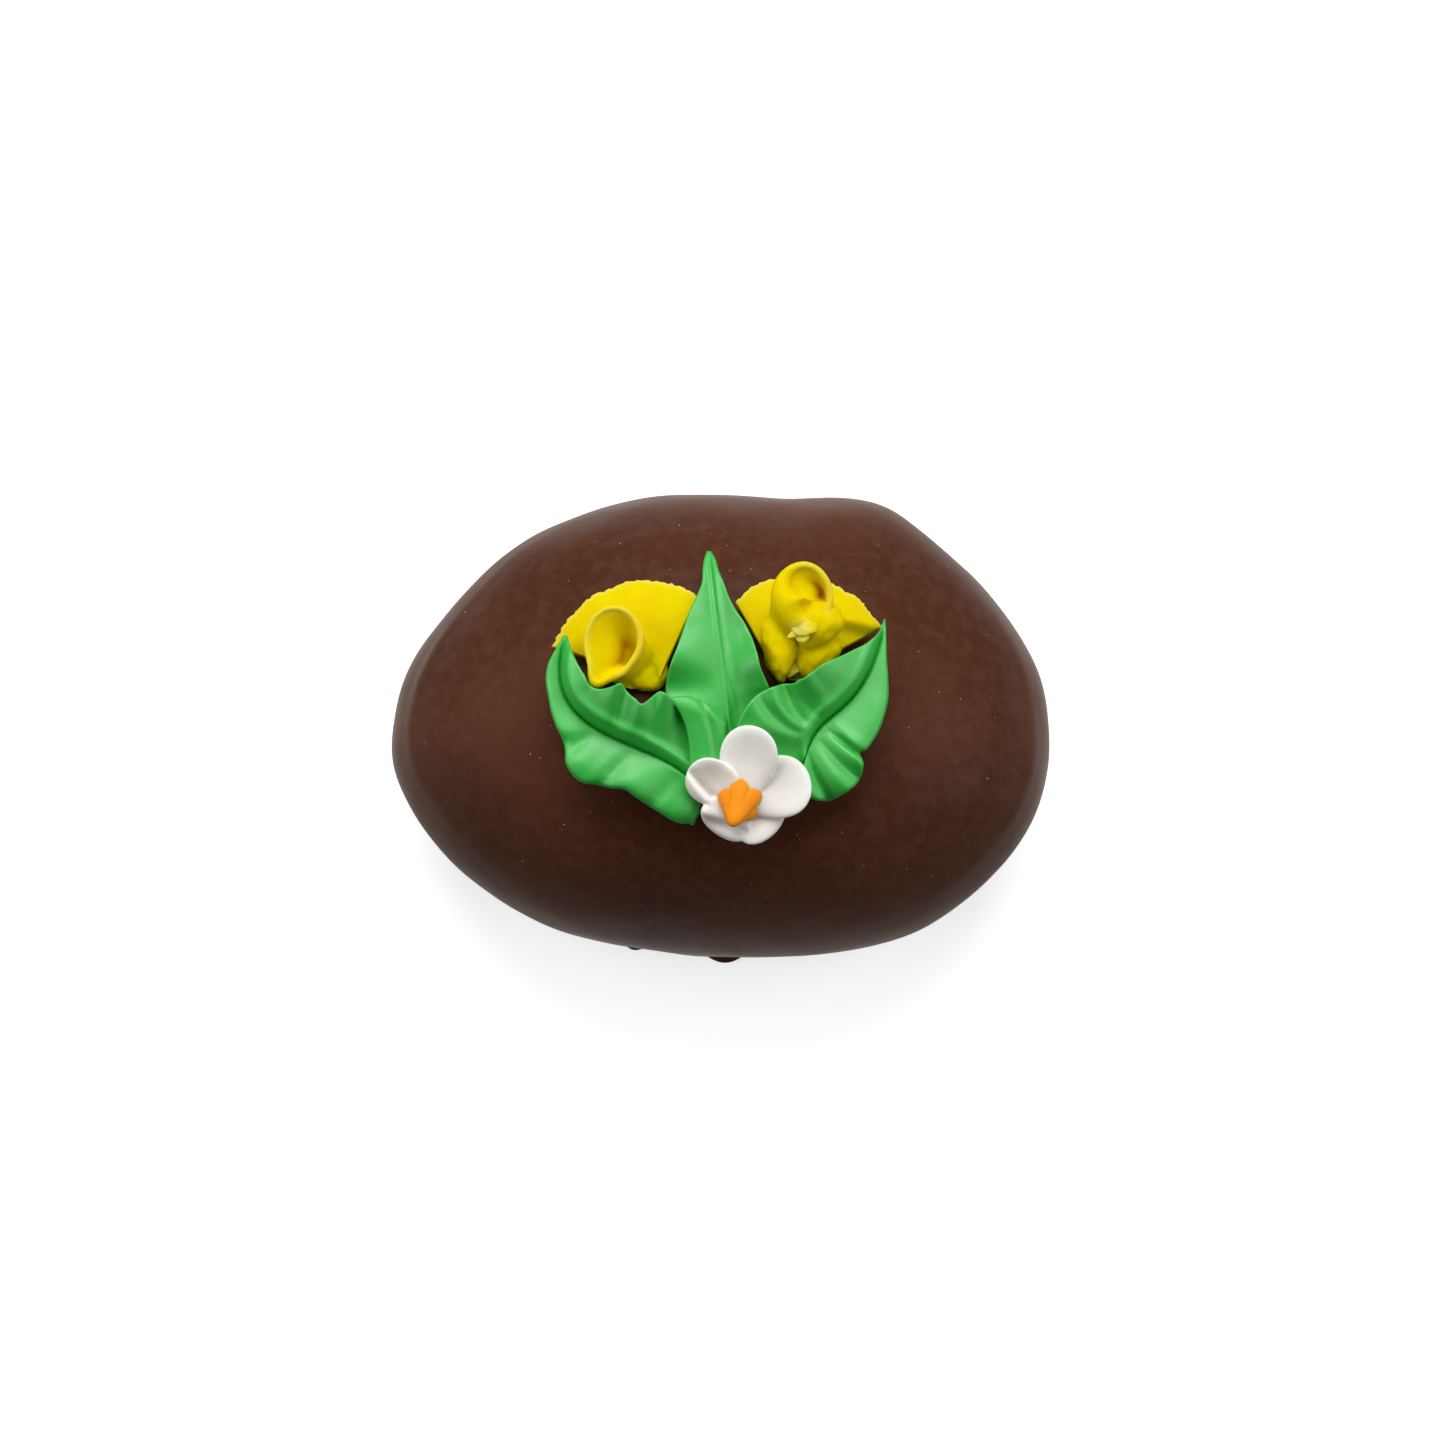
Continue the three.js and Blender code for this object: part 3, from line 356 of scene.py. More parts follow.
# A leaf hangs on its vein, a curve of four points seen from above, and stands up to lifts there. Each
# side has its reach from the vein and the lift of its rim, both in mm at shares of the vein's length,
# how far it fans back round the base in degrees and up to which share, how its rise is spread from
# vein to rim, how much it hollows, and how far it holds up like a shelf before its rim turns down.
# Ribs are [share at the rim, spread, height in mm], and sweep says how much nearer the base they start
# at the vein. The vein is a ridge and a groove: distance to the right, width and height in mm.
LEAVES = {
    "leaf_middle": dict(
        vein=[(2.1, -11.6), (1.0, -0.5), (-0.8, 10.5), (-1.7, 21.6)], tip_lift=1.4,
        ridge=(0.0, 0.34, 0.42), groove=(1.3, 0.9, 0.4),
        left=dict(
            heel=5, heel_to=0.34, curl=1.1, hollow=-0.7, shelf=0, sweep=0.04,
            reach=[(0, 1.5), (0.05, 4.5), (0.1, 6.0), (0.21, 6.0), (0.26, 6.4), (0.3, 7.1), (0.35, 8.4),
                   (0.39, 8.5), (0.485, 7.5), (0.56, 6.2), (0.65, 4.8), (0.72, 3.7), (0.79, 2.4),
                   (0.85, 1.45), (0.91, 1.15), (0.955, 0.85), (1, 0.3)],
            lift=[(0, 0.3), (0.2, 0.5), (0.33, 0.8), (0.42, 0.9), (0.5, 2.2), (0.65, 2.2), (0.8, 1.2),
                  (1, 0)],
            ribs=[(0.4, 0.05, -0.5), (0.52, 0.07, 0.5), (0.66, 0.05, -0.3)]),
        right=dict(
            heel=20, heel_to=0.33, curl=1.0, hollow=0.3, shelf=0, sweep=0.04,
            reach=[(0, 1.5), (0.06, 3.6), (0.13, 4.6), (0.2, 5.2), (0.26, 5.9), (0.31, 6.4), (0.37, 5.9),
                   (0.42, 5.35), (0.49, 5.1), (0.57, 4.7), (0.65, 3.85), (0.7, 3.0), (0.78, 2.1),
                   (0.84, 1.7), (0.9, 1.2), (0.965, 0.8), (1, 0.3)],
            lift=[(0, 0), (0.2, 0.2), (0.28, 0.8), (0.36, 2.8), (0.45, 3.6), (0.54, 2.8), (0.63, 1.8),
                  (0.75, 1.3), (0.85, 0.8), (1, 0)],
            ribs=[(0.46, 0.06, 0.5), (0.6, 0.05, -0.4)])),
    "leaf_left": dict(
        vein=[(-2.3, -14.4), (-7.7, -5.2), (-27.0, -8.1), (-22.2, 8.6)], tip_lift=3.2,
        ridge=(1.15, 0.85, 0.75), groove=(0.0, 0.25, 0.7),
        left=dict(
            heel=45, heel_to=0.36, curl=1.0, hollow=0, shelf=1.0, sweep=0.07,
            reach=[(0, 2.4), (0.01, 3.8), (0.055, 5.5), (0.13, 6.9), (0.18, 7.0), (0.23, 6.9), (0.29, 6.7),
                   (0.34, 6.4), (0.39, 6.9), (0.45, 7.25), (0.5, 7.9), (0.55, 7.5), (0.585, 6.6),
                   (0.61, 5.2), (0.64, 4.3), (0.685, 3.65), (0.735, 3.0), (0.79, 2.4), (0.86, 2.15),
                   (0.91, 1.75), (0.955, 1.0), (1, 0.3)],
            lift=[(0, 0.8), (0.1, 1.6), (0.3, 2.9), (0.5, 3.3), (0.6, 2.7), (0.7, 2.1), (0.8, 1.6),
                  (0.9, 0.8), (1, 0)],
            ribs=[(0.625, 0.028, -0.9), (0.56, 0.04, 0.3), (0.44, 0.035, -0.6), (0.33, 0.04, 0.3),
                  (0.235, 0.035, -0.6), (0.12, 0.05, 0.3)]),
        right=dict(
            heel=10, heel_to=0.34, curl=0.62, hollow=-0.3, shelf=0, sweep=0.05,
            reach=[(0, 1.5), (0.1, 2.8), (0.19, 4.6), (0.225, 6.2), (0.27, 7.3), (0.31, 8.0), (0.345, 8.2),
                   (0.37, 8.0), (0.385, 7.0), (0.4, 5.9), (0.45, 5.8), (0.5, 6.2), (0.55, 6.8),
                   (0.595, 5.7), (0.66, 4.4), (0.74, 3.65), (0.84, 3.4), (0.91, 2.45), (0.965, 1.25),
                   (1, 0.3)],
            lift=[(0, 0.1), (0.15, 0.2), (0.22, 0.4), (0.27, 1.2), (0.31, 3.0), (0.345, 4.6), (0.4, 4.1),
                  (0.45, 4.2), (0.54, 4.8), (0.6, 4.2), (0.7, 3.4), (0.82, 3.0), (0.92, 1.6), (1, 0)],
            ribs=[(0.3, 0.03, 0.5), (0.37, 0.025, -0.8), (0.42, 0.03, 0.4), (0.515, 0.03, -0.6),
                  (0.58, 0.04, 0.5)])),
    "leaf_right": dict(
        vein=[(12.4, -8.4), (13.9, -1.2), (20.6, -4.4), (23.6, 11.1)], tip_lift=3.6,
        ridge=(-1.1, 0.85, 0.65), groove=(0.0, 0.27, 0.65),
        left=dict(
            heel=80, heel_to=0.35, curl=0.7, hollow=-0.2, shelf=0, sweep=0.1,
            reach=[(0, 8.2), (0.09, 10.2), (0.14, 11.2), (0.17, 11.15), (0.19, 10.8), (0.21, 10.35),
                   (0.23, 9.9), (0.25, 9.2), (0.27, 8.4), (0.295, 7.8), (0.31, 7.1), (0.355, 6.5),
                   (0.475, 6.2), (0.655, 5.75), (0.77, 4.5), (0.85, 2.95), (0.9, 1.5), (0.94, 0.6),
                   (1, 0.1)],
            lift=[(0, 0), (0.08, 0.6), (0.12, 1.8), (0.16, 3.0), (0.22, 3.2), (0.29, 3.0), (0.35, 4.2),
                  (0.5, 4.6), (0.65, 4.2), (0.8, 2.4), (0.9, 1.0), (1, 0)],
            ribs=[(0.16, 0.03, -0.4), (0.21, 0.022, 0.45), (0.237, 0.013, -0.45), (0.262, 0.02, 0.6),
                  (0.3, 0.02, -0.8)]),
        right=dict(
            heel=97, heel_to=0.33, curl=1.0, hollow=-0.4, shelf=0.8, sweep=0.08,
            reach=[(0, 4.8), (0.015, 5.6), (0.04, 6.9), (0.08, 8.3), (0.12, 9.2), (0.17, 9.7), (0.23, 9.7),
                   (0.275, 9.0), (0.315, 8.0), (0.34, 7.0), (0.415, 7.0), (0.5, 6.6), (0.56, 6.15),
                   (0.635, 5.3), (0.715, 4.3), (0.79, 3.0), (0.87, 1.65), (0.94, 0.8), (1, 0.1)],
            lift=[(0, 0.8), (0.1, 1.9), (0.3, 2.8), (0.45, 2.6), (0.6, 2.3), (0.8, 1.2), (1, 0)],
            ribs=[(0.06, 0.03, 0.4), (0.12, 0.022, -0.8), (0.19, 0.03, 0.5), (0.25, 0.02, -0.6),
                  (0.3, 0.025, 0.4), (0.345, 0.02, -0.8), (0.42, 0.05, 0.2)])),
}


def profile(stations, s):
    """A smooth curve through stations of place and value."""
    at, value = np.array(stations, float).T
    slope = np.gradient(value, at)
    i = np.clip(np.searchsorted(at, s, side="right") - 1, 0, len(at) - 2)
    span = at[i + 1] - at[i]
    t = np.clip((s - at[i]) / span, 0, 1)
    rise = value[i + 1] - value[i]
    blend = t * t * (3 - 2 * t)
    bend = t * (1 - t) * ((1 - t) * slope[i] - t * slope[i + 1]) * span
    return value[i] + rise * blend + bend


def vein_point(vein, s):
    """Places and headings along a cubic curve of four points."""
    a, b, c, d = (np.array(p, float) for p in vein)
    s = s[..., None]
    r = 1 - s
    place = r ** 3 * a + 3 * r * r * s * b + 3 * r * s * s * c + s ** 3 * d
    way = r * r * (b - a) + 2 * r * s * (c - b) + s * s * (d - c)
    return place, np.arctan2(way[..., 1], way[..., 0])


def leaf_point(leaf, s, t):
    """Middle surface of a leaf: s from base to tip, t from -1 at the left rim to 1 at the right."""
    place, heading = vein_point(leaf["vein"], s)
    a = np.abs(t)
    fade = np.clip((1 - s) / VEIN_END, 0, 1)
    halves = []
    for sign, key in ((-1, "left"), (1, "right")):
        side = leaf[key]
        swing = math.radians(side["heel"]) * np.clip(1 - s / side["heel_to"], 0, 1) ** FAN_BACK
        across = heading - sign * (math.pi / 2 + swing)
        reach = profile(side["reach"], s)
        away = a * reach
        lift = profile(side["lift"], s) * a ** side["curl"]
        broad = np.clip(reach / BROAD, 0, 1)
        lift = lift - 0.5 * side["hollow"] * np.sin(math.pi * a) * broad
        lift = lift + side["shelf"] * a * (1 - a ** 8) * broad
        ribbed = s + side["sweep"] * (1 - a)
        clear_of_vein = np.clip((a - RIBS_FROM) / RIBS_OVER, 0, 1) ** 0.8
        for at, spread, up in side["ribs"]:
            lift = lift + up * bump(ribbed, at, spread) * clear_of_vein
        for (offset, width, up), way in ((leaf["ridge"], 1), (leaf["groove"], -1)):
            lift = lift + way * up * bump(sign * away, offset, width) * fade
        x = place[..., 0] + away * np.cos(across)
        y = place[..., 1] + away * np.sin(across)
        halves.append(np.stack([x, y, lift], -1))
    point = np.where((t < 0)[..., None], halves[0], halves[1])
    point[..., 2] += LEAF_BED + leaf["tip_lift"] * s ** 3 + chocolate(point[..., 0], point[..., 1])
    return point


def sheet_points(middle, thickness, u, v):
    """Upper and lower faces of a thin sheet round its middle surface, clear of the chocolate."""
    u, v = np.meshgrid(u, v, indexing="ij")
    upper = middle(u, v)
    lower = upper.copy()
    half = thickness(u, v) / 2
    upper[..., 2] += half
    lower[..., 2] = np.maximum(lower[..., 2] - half, chocolate(lower[..., 0], lower[..., 1]) - SINK)
    upper[..., 2] = np.maximum(upper[..., 2], lower[..., 2])
    return upper, lower


def sheet_faces(columns, rows):
    """Faces of two grids, upper and lower, that share their corners along the rim."""
    width = rows + 1
    i, j = np.meshgrid(np.arange(columns), np.arange(rows), indexing="ij")
    a = (i * width + j).ravel()
    upper = np.stack([a, a + width, a + width + 1, a + 1], 1)
    offset = (columns + 1) * width
    return upper.tolist() + (upper[:, ::-1] + offset).tolist()


def make_sheet(name, middle, thickness, u, v, material):
    """A closed thin solid. Its thickness falls to nothing at the rim, where both faces meet."""
    upper, lower = sheet_points(middle, thickness, u, v)
    points = np.concatenate([upper.reshape(-1, 3), lower.reshape(-1, 3)])
    piece = make_piece(name, points, sheet_faces(len(u) - 1, len(v) - 1), material)
    face_outwards(piece.data, WELD)
    return piece


def denser_at_ends(count, power=1.6):
    """Shares from 0 to 1 that crowd towards both ends."""
    k = np.linspace(-1, 1, count)
    return 0.5 + 0.5 * np.sign(k) * (1 - (1 - np.abs(k)) ** power)


def round_rim(inside, width):
    """Share of the full thickness at a distance inside the rim, for a rim that is round."""
    return np.sqrt(np.clip(1 - (1 - np.clip(inside / width, 0, 1)) ** 2, 0, 1))


def make_leaf(name, leaf, material):
    def middle(u, v):
        return leaf_point(leaf, u, 2 * v - 1)

    length = np.linalg.norm(np.subtract(leaf["vein"][3], leaf["vein"][0]))

    def thickness(u, v):
        t = np.abs(2 * v - 1)
        reach = np.where(v < 0.5, profile(leaf["left"]["reach"], u), profile(leaf["right"]["reach"], u))
        inside = np.minimum((1 - t) * reach, np.minimum(u, 1 - u) * length)
        body = LEAF_RIM + LEAF_BODY * (1 - t) ** 1.5 * np.clip((1 - u) / 0.3, 0.3, 1)
        return body * round_rim(inside, ROUNDING)

    u = denser_at_ends(221, 1.2)
    half = denser_at_ends(65, 1.5) / 2
    v = np.concatenate([half, 0.5 + half[1:]])
    return make_sheet(name, middle, thickness, u, v, material)


# A second stroke on the middle leaf's left side, seen from above: its left and right edges, about
# how wide and long it is, how far its upper end bulges, its lift at the four corners, how far its
# upper right corner sinks and up to which share of its length, how much it arches, how thick it is.
FLAP = dict(left=[(-7.7, -1.2), (-4.2, -3.2), (-4.4, -10.6)],
            right=[(0.9, -3.6), (1.0, -6.0), (0.7, -10.8)], size=(6, 9), bulge=1.5,
            upper_lift=(4.6, 2.9), lower_lift=(2.9, 2.3), sink=1.5, sink_to=0.3, arch=0.4, thickness=1.0)


def make_flap(material):
    def edge(points, u):
        start, bend, end = (np.array(p) for p in points)
        u = u[..., None]
        return (1 - u) ** 2 * start + 2 * u * (1 - u) * bend + u * u * end

    def middle(u, v):
        left, right = edge(FLAP["left"], u), edge(FLAP["right"], u)
        place = left + (right - left) * v[..., None]
        x, y = place[..., 0], place[..., 1]
        hump = 4 * v * (1 - v)
        y = y + FLAP["bulge"] * hump * (1 - u) ** 3
        sink = FLAP["sink"] * v ** 0.7 * np.clip(1 - u / FLAP["sink_to"], 0, 1) ** 2
        upper = between(*FLAP["upper_lift"], v)
        lower = between(*FLAP["lower_lift"], v)
        lift = between(upper, lower, u) + FLAP["arch"] * hump - sink
        crease = 0.3 * bump(v, 0.55 + 0.2 * u, 0.08)
        waver = 0.1 * np.sin(6 * u + 3 * v)
        lift = lift - crease + waver
        return np.stack([x, y, chocolate(x, y) + lift], -1)

    def thickness(u, v):
        across, along = FLAP["size"]
        inside = np.minimum(np.minimum(v, 1 - v) * across, np.minimum(u, 1 - u) * along)
        return FLAP["thickness"] * round_rim(inside, ROUNDING)

    return make_sheet("flap", middle, thickness, denser_at_ends(61), denser_at_ends(61), material)


def join(pieces):
    """Puts several pieces into the first one's mesh."""
    with bpy.context.temp_override(active_object=pieces[0], selected_editable_objects=pieces):
        bpy.ops.object.join()
    return pieces[0]


def icing_group():
    """The dry skin of royal icing: broad cloudiness, and a fine grain with a few pricks in it."""
    group = bpy.data.node_groups.new("dry_icing_skin", "ShaderNodeTree")
    for name, way in (("Grain Size", "INPUT"), ("Clouds", "OUTPUT"), ("Height", "OUTPUT")):
        group.interface.new_socket(name, in_out=way, socket_type="NodeSocketFloat")
    clouds = spread_out(group, noise(group, 150.0, 3.0, distortion=0.4), 0.32, 0.68)
    grain = noise(group, add_node(group, "NodeGroupInput").outputs["Grain Size"], 2.0)
    place = add_node(group, "ShaderNodeTexCoord").outputs["Object"]
    prick = add_node(group, "ShaderNodeTexVoronoi", {"Vector": place, "Scale": 900.0})
    chosen = spread_out(group, prick.outputs["Color"], 0.9, 0.92)
    hole = spread_out(group, prick.outputs["Distance"], 0.05, 0.16, 1.0, 0.0)
    height = calculate(group, "SUBTRACT", grain, calculate(group, "MULTIPLY", hole, chosen))
    add_node(group, "NodeGroupOutput", {"Clouds": clouds, "Height": height})
    return group


dry_icing_skin = icing_group()
GLOW_DEPTH = 1.6    # how far light goes into icing, in mm


def new_icing(name, dark, light, roughness, grain, shine, glow, soft=0.3, tint=(1, 1, 1), marks=()):
    """A dry icing. Its colour wanders between dark and light, and goes over to others at its marks."""
    material, tree = new_material(name)
    skin = add_node(tree, "ShaderNodeGroup", node_tree=dry_icing_skin)
    skin.inputs["Grain Size"].default_value = grain
    colour = blend_colours(tree, skin.outputs["Clouds"], dark, light)
    for attribute, marked in marks:
        mark = add_node(tree, "ShaderNodeAttribute", attribute_name=attribute)
        colour = blend_colours(tree, mark.outputs["Fac"], colour, marked)
    rough = spread_out(tree, skin.outputs["Clouds"], 0, 1, roughness - 0.04, roughness + 0.05)
    add_surface(tree, {
        "Base Color": colour, "Roughness": rough,
        "Normal": relief(tree, skin.outputs["Height"], 0.4, 0.08),
        "Specular IOR Level": shine, "Specular Tint": (*tint, 1), "Subsurface Weight": soft,
        "Subsurface Scale": GLOW_DEPTH * MM, "Subsurface Radius": glow})
    return material


green_icing = new_icing("green_icing", (0.012, 0.40, 0.030), (0.026, 0.46, 0.048), 0.52, 1500, 1.0,
                        glow=(0.4, 1.0, 0.4))

for name, leaf in LEAVES.items():
    piece = make_leaf(f"{name}_icing", leaf, green_icing)
    if name == "leaf_middle":
        piece = join([piece, make_flap(green_icing)])
    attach(piece, "root")
    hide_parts(name)


# ---- Rosebuds ----------------------------------------------------------------
# Two rosebuds of yellow royal icing. A petal tip pressed out one flat fan with a torn rim, and a
# second petal was rolled up on it into a cup, whose wall is thin on one side and plump on the other.

# The roll widens and leans over from its root to its mouth, and its hollow ends in a slit at a share
# of its height. Corners pull its mouth out, and swells thicken its wall: direction in degrees, spread,
# how much in mm. Folds have a place and lift, a size and a turn in degrees, and flakes that lie on
# them a place, a size and a turn.
ROSEBUDS = {
    "rosebud_left": dict(
        fan=dict(pivot=(-9.0, 1.3), start=66, end=158, start_radius=14.4, end_radius=16.4, bulge=0.9,
                 bed=1.2, rise=1.3, lip=0),
        roll=dict(root=(-11.4, 2.7, 0.9), root_radius=(4.4, 2.5), mouth=(-15.2, 7.0, 5.3),
                  mouth_radius=(4.0, 5.0), corners=[(240, 18, 1.9), (-45, 35, -0.7)], slope=(0.04, 0.1),
                  flare=0.4, wall=0.75, swells=[(0, 60, 0.25), (255, 30, 0.8)],
                  throat=(-13.9, 5.7), slit=(0.25, 1.1), depth=0.2, steep=0.24, shallow=1.5, plump=0.3),
        folds=[((-9.9, 2.7, 0.65), (2.9, 2.2, 1.4), 35)], flakes=[]),
    "rosebud_right": dict(
        fan=dict(pivot=(8.6, 1.6), start=30, end=118.5, start_radius=16.8, end_radius=13.8, bulge=1.3,
                 bed=1.2, rise=1.3, lip=1.6),
        roll=dict(root=(11.2, 4.9, 0.9), root_radius=(5.0, 3.2), mouth=(11.7, 13.3, 6.9),
                  mouth_radius=(4.3, 4.8), corners=[(80, 30, 0.2), (255, 25, 0.4), (-25, 35, -0.2)],
                  slope=(-0.05, 0.12), flare=0.3, wall=1.0, swells=[(200, 60, 4.2), (262, 34, 1.2)],
                  throat=(14.3, 14.0), slit=(0.6, 1.5), depth=0.55, steep=0.4, shallow=1.5, plump=0.8),
        folds=[((8.5, 6.8, 1.9), (2.6, 5.2, 2.6), 2), ((13.4, 6.2, 1.8), (3.5, 3.9, 2.3), -18),
               ((13.6, 9.8, 4.5), (3.5, 3.7, 2.6), -25)],
        flakes=[((10.8, 8.2), (1.3, 0.5, 0.2), 25), ((11.9, 8.8), (1.9, 1.0, 0.2), 8),
                ((11.6, 8.0), (1.0, 1.1, 0.2), 10), ((10.7, 3.2), (0.6, 0.6, 0.4), 20)]),
}
# Fans start at a share of their radius, and are thicker there. A lip is a ridge that bends aside and
# sinks on its way in, over shares of the radius, with a left and a right slope.
FAN = dict(near=0.08, rim=0.45, heart=0.9, rounding=0.3, lip_bend=0.3, bend_over=0.4, lip_from=0.5,
           lip_over=0.3, lip_left=0.14, lip_right=0.09)
# The torn rim of a fan, on an arc of this radius: length of its waves in mm, seed, height in mm.
TEAR_RADIUS = 15
FAN_TEARS = [(3.0, 21, 0.13), (1.1, 22, 0.09), (0.5, 23, 0.05)]
# How soon a roll comes over to its mouth as it rises, how soon it widens, how high its brim stands
# for its thickness, and where its hollow is shallow and plump: direction and spread in degrees.
ROLL = dict(lean=0.35, spread=0.85, brim=0.42, shallow_at=(180, 70), plump_at=(195, 75))
FUSED_GRAIN, FUSED_SOFTENING = 0.14, 12
# The icing is pale where it is thin, at the torn rim, the mouth and the flakes, and painted shade
# darkens it down in the hollow: how far that reaches in mm, and how strong it is.
PALE_RIM, PALE_MOUTH, PALE_FLAKES, THROAT_PAINTED_SHADE = (0.45, 0.7), (0.45, 0.55), (1.0, 1.0), (1.3, 0.8)
THIN = 0.5          # how much thicker than its least a wall still looks thin, in mm

# The "deep" mark is painted shade: a darker orange-brown laid on down in each roll's hollow.
yellow_icing = new_icing("yellow_icing", (0.70, 0.525, 0.0), (0.76, 0.60, 0.0), 0.5, 2200, 0.2,
                         glow=(1.0, 0.8, 0.02), soft=0.45, tint=(1, 0.9, 0.02),
                         marks=[("pale", (0.82, 0.70, 0.13)), ("deep", (0.48, 0.22, 0.0))])


def fan_point(fan, u, v):
    """Middle surface of a fan: u from its pivot to its rim, v from its right edge to its left."""
    w = between(FAN["near"], 1, u)
    angle = np.radians(between(fan["start"], fan["end"], v))
    radius = between(fan["start_radius"], fan["end_radius"], v) + fan["bulge"] * np.sin(math.pi * v)
    arc = TEAR_RADIUS * np.stack([np.cos(angle), np.sin(angle), np.zeros_like(angle)], -1)
    torn = sum(up * waves(arc, length, seed) for length, seed, up in FAN_TEARS)
    radius = radius + torn * u ** 30
    x = fan["pivot"][0] + w * radius * np.cos(angle)
    y = fan["pivot"][1] + w * radius * np.sin(angle)
    ridge = FAN["lip_bend"] * np.clip((1 - w) / FAN["bend_over"], 0, 1)
    slope = np.where(v < ridge, FAN["lip_right"], FAN["lip_left"])
    full = np.clip((w - FAN["lip_from"]) / FAN["lip_over"], 0, 1)
    lip = fan["lip"] * bump(v, ridge, slope) * full
    lift = fan["bed"] + fan["rise"] * w * w * (1 - 0.5 * (2 * v - 1) ** 4) + lip
    return np.stack([x, y, chocolate(x, y) + lift], -1)


def make_fan(fan, material):
    def middle(u, v):
        return fan_point(fan, u, v)

    def thickness(u, v):
        across = np.radians(fan["end"] - fan["start"]) * fan["start_radius"]
        from_edge = np.minimum(v, 1 - v) * across * np.maximum(u, 0.2)
        inside = np.minimum((1 - u) * fan["start_radius"], from_edge)
        return (FAN["rim"] + FAN["heart"] * (1 - u ** 3)) * round_rim(inside, FAN["rounding"])

    return make_sheet("fan", middle, thickness, denser_at_ends(81), denser_at_ends(321, 1.15), material)


def sum_of_bumps(bumps, degrees):
    """Bumps round a circle, each direction, spread and height, added up at directions in degrees."""
    return sum(up * angle_bump(degrees, where, spread) for where, spread, up in bumps)


def roll_wall(roll, degrees):
    return roll["wall"] + sum_of_bumps(roll["swells"], degrees)


def roll_outer(roll, degrees, h, inset):
    """Places on the roll at a share of its height, moved in from its outer face."""
    root, mouth = roll["root"], roll["mouth"]
    root_z = chocolate(root[0], root[1]) + root[2]
    mouth_z = chocolate(mouth[0], mouth[1]) + mouth[2]
    angle = np.radians(degrees)
    corner = sum_of_bumps(roll["corners"], degrees)
    place = []
    for i, wave in ((0, np.cos(angle)), (1, np.sin(angle))):
        radius = between(roll["root_radius"][i], roll["mouth_radius"][i] + corner, h ** ROLL["spread"])
        place.append((radius + roll["flare"] * h ** 5 - inset) * wave)
    x, y = place
    tilt = (roll["slope"][0] * x + roll["slope"][1] * y) * h
    leaned = h ** ROLL["lean"]
    return np.stack([between(root[0], mouth[0], leaned) + x, between(root[1], mouth[1], leaned) + y,
                     between(root_z, mouth_z, h) + tilt], -1)


def roll_inner(roll, degrees, k):
    """Places in the hollow: k is 1 at the mouth and 0 at the slit."""
    edge = roll_outer(roll, degrees, between(roll["depth"], 1, k), roll_wall(roll, degrees))
    along = np.cos(np.radians(degrees) - math.atan2(roll["slit"][1], roll["slit"][0]))
    wide = k ** between(roll["steep"], roll["shallow"], angle_bump(degrees, *ROLL["shallow_at"]))
    low = np.array(roll["throat"]) + np.multiply.outer(along, roll["slit"])
    flat = between(low, edge[..., :2], wide[..., None])
    bulge = roll["plump"] * angle_bump(degrees, *ROLL["plump_at"]) * np.sin(math.pi * wide)
    return np.concatenate([flat, (edge[..., 2] + bulge)[..., None]], -1)


def make_roll(roll):
    around = 160
    degrees = np.linspace(0, 360, around, endpoint=False)
    wall = roll_wall(roll, degrees)
    loops = [roll_outer(roll, degrees, np.full(around, h), 0) for h in np.linspace(0, 1, 40)]
    for turn in np.linspace(0, math.pi, 9)[1:-1]:
        brim = roll_outer(roll, degrees, np.ones(around), wall * (1 - math.cos(turn)) / 2)
        brim[:, 2] += ROLL["brim"] * wall * math.sin(turn)
        loops.append(brim)
    loops += [roll_inner(roll, degrees, np.full(around, k)) for k in np.linspace(1, 0, 40) ** 1.5]
    return make_rings("roll", loops, loops[0].mean(0), loops[-1].mean(0), None)


def make_fold(at, size, turn, ragged=0.03, grain=1.8, taper=0.35):
    """A plump fold of petal, narrower at the front, or a flat torn flake of it where it is ragged."""
    ball = bmesh.new()
    bmesh.ops.create_icosphere(ball, subdivisions=4, radius=1)
    points = np.array([v.co[:] for v in ball.verts])
    faces = [[v.index for v in f.verts] for f in ball.faces]
    ball.free()
    points = points * (1 + ragged * waves(points * size, grain, 31))[:, None] * size
    points[:, 0] *= 1 + taper * points[:, 1] / size[1]
    c, s = math.cos(math.radians(turn)), math.sin(math.radians(turn))
    points = points @ np.array([[c, s, 0], [-s, c, 0], [0, 0, 1]])
    points += [at[0], at[1], chocolate(at[0], at[1]) + at[2]]
    points[:, 2] = np.maximum(points[:, 2], chocolate(points[:, 0], points[:, 1]) - SINK)
    return make_piece("fold", points, faces, None)


def fuse(name, parts, grain, soften, material):
    """Runs soft pieces together into one skin, as wet icing does, and smooths the joins."""
    whole = join(parts)
    remesh = whole.modifiers.new("fuse", "REMESH")
    remesh.mode = "VOXEL"
    remesh.voxel_size = grain * MM
    smooth = whole.modifiers.new("soften", "SMOOTH")
    smooth.factor = 0.5
    smooth.iterations = soften
    mesh = bpy.data.meshes.new_from_object(whole.evaluated_get(bpy.context.evaluated_depsgraph_get()))
    bpy.data.objects.remove(whole)
    mesh.name = name
    mesh.materials.clear()
    mesh.materials.append(material)
    mesh.shade_smooth()
    return new_object(name, mesh)


def skin_points(piece):
    """Corners of a piece in mm, as they lie in the plan."""
    flat = np.empty(len(piece.data.vertices) * 3)
    piece.data.vertices.foreach_get("co", flat)
    return flat.reshape(-1, 3) / MM - SHIFT


def make_flake(at, size, turn, skin, material):
    """A thin torn flake of petal that lies on a skin of points."""
    x, y = at
    top = skin[np.hypot(skin[:, 0] - x, skin[:, 1] - y) < 0.4, 2].max()
    flake = make_fold((x, y, top - chocolate(x, y) + 0.05), size, turn, ragged=0.13, grain=1.2, taper=0)
    flake.data.materials.append(material)
    return flake, [x, y, top]


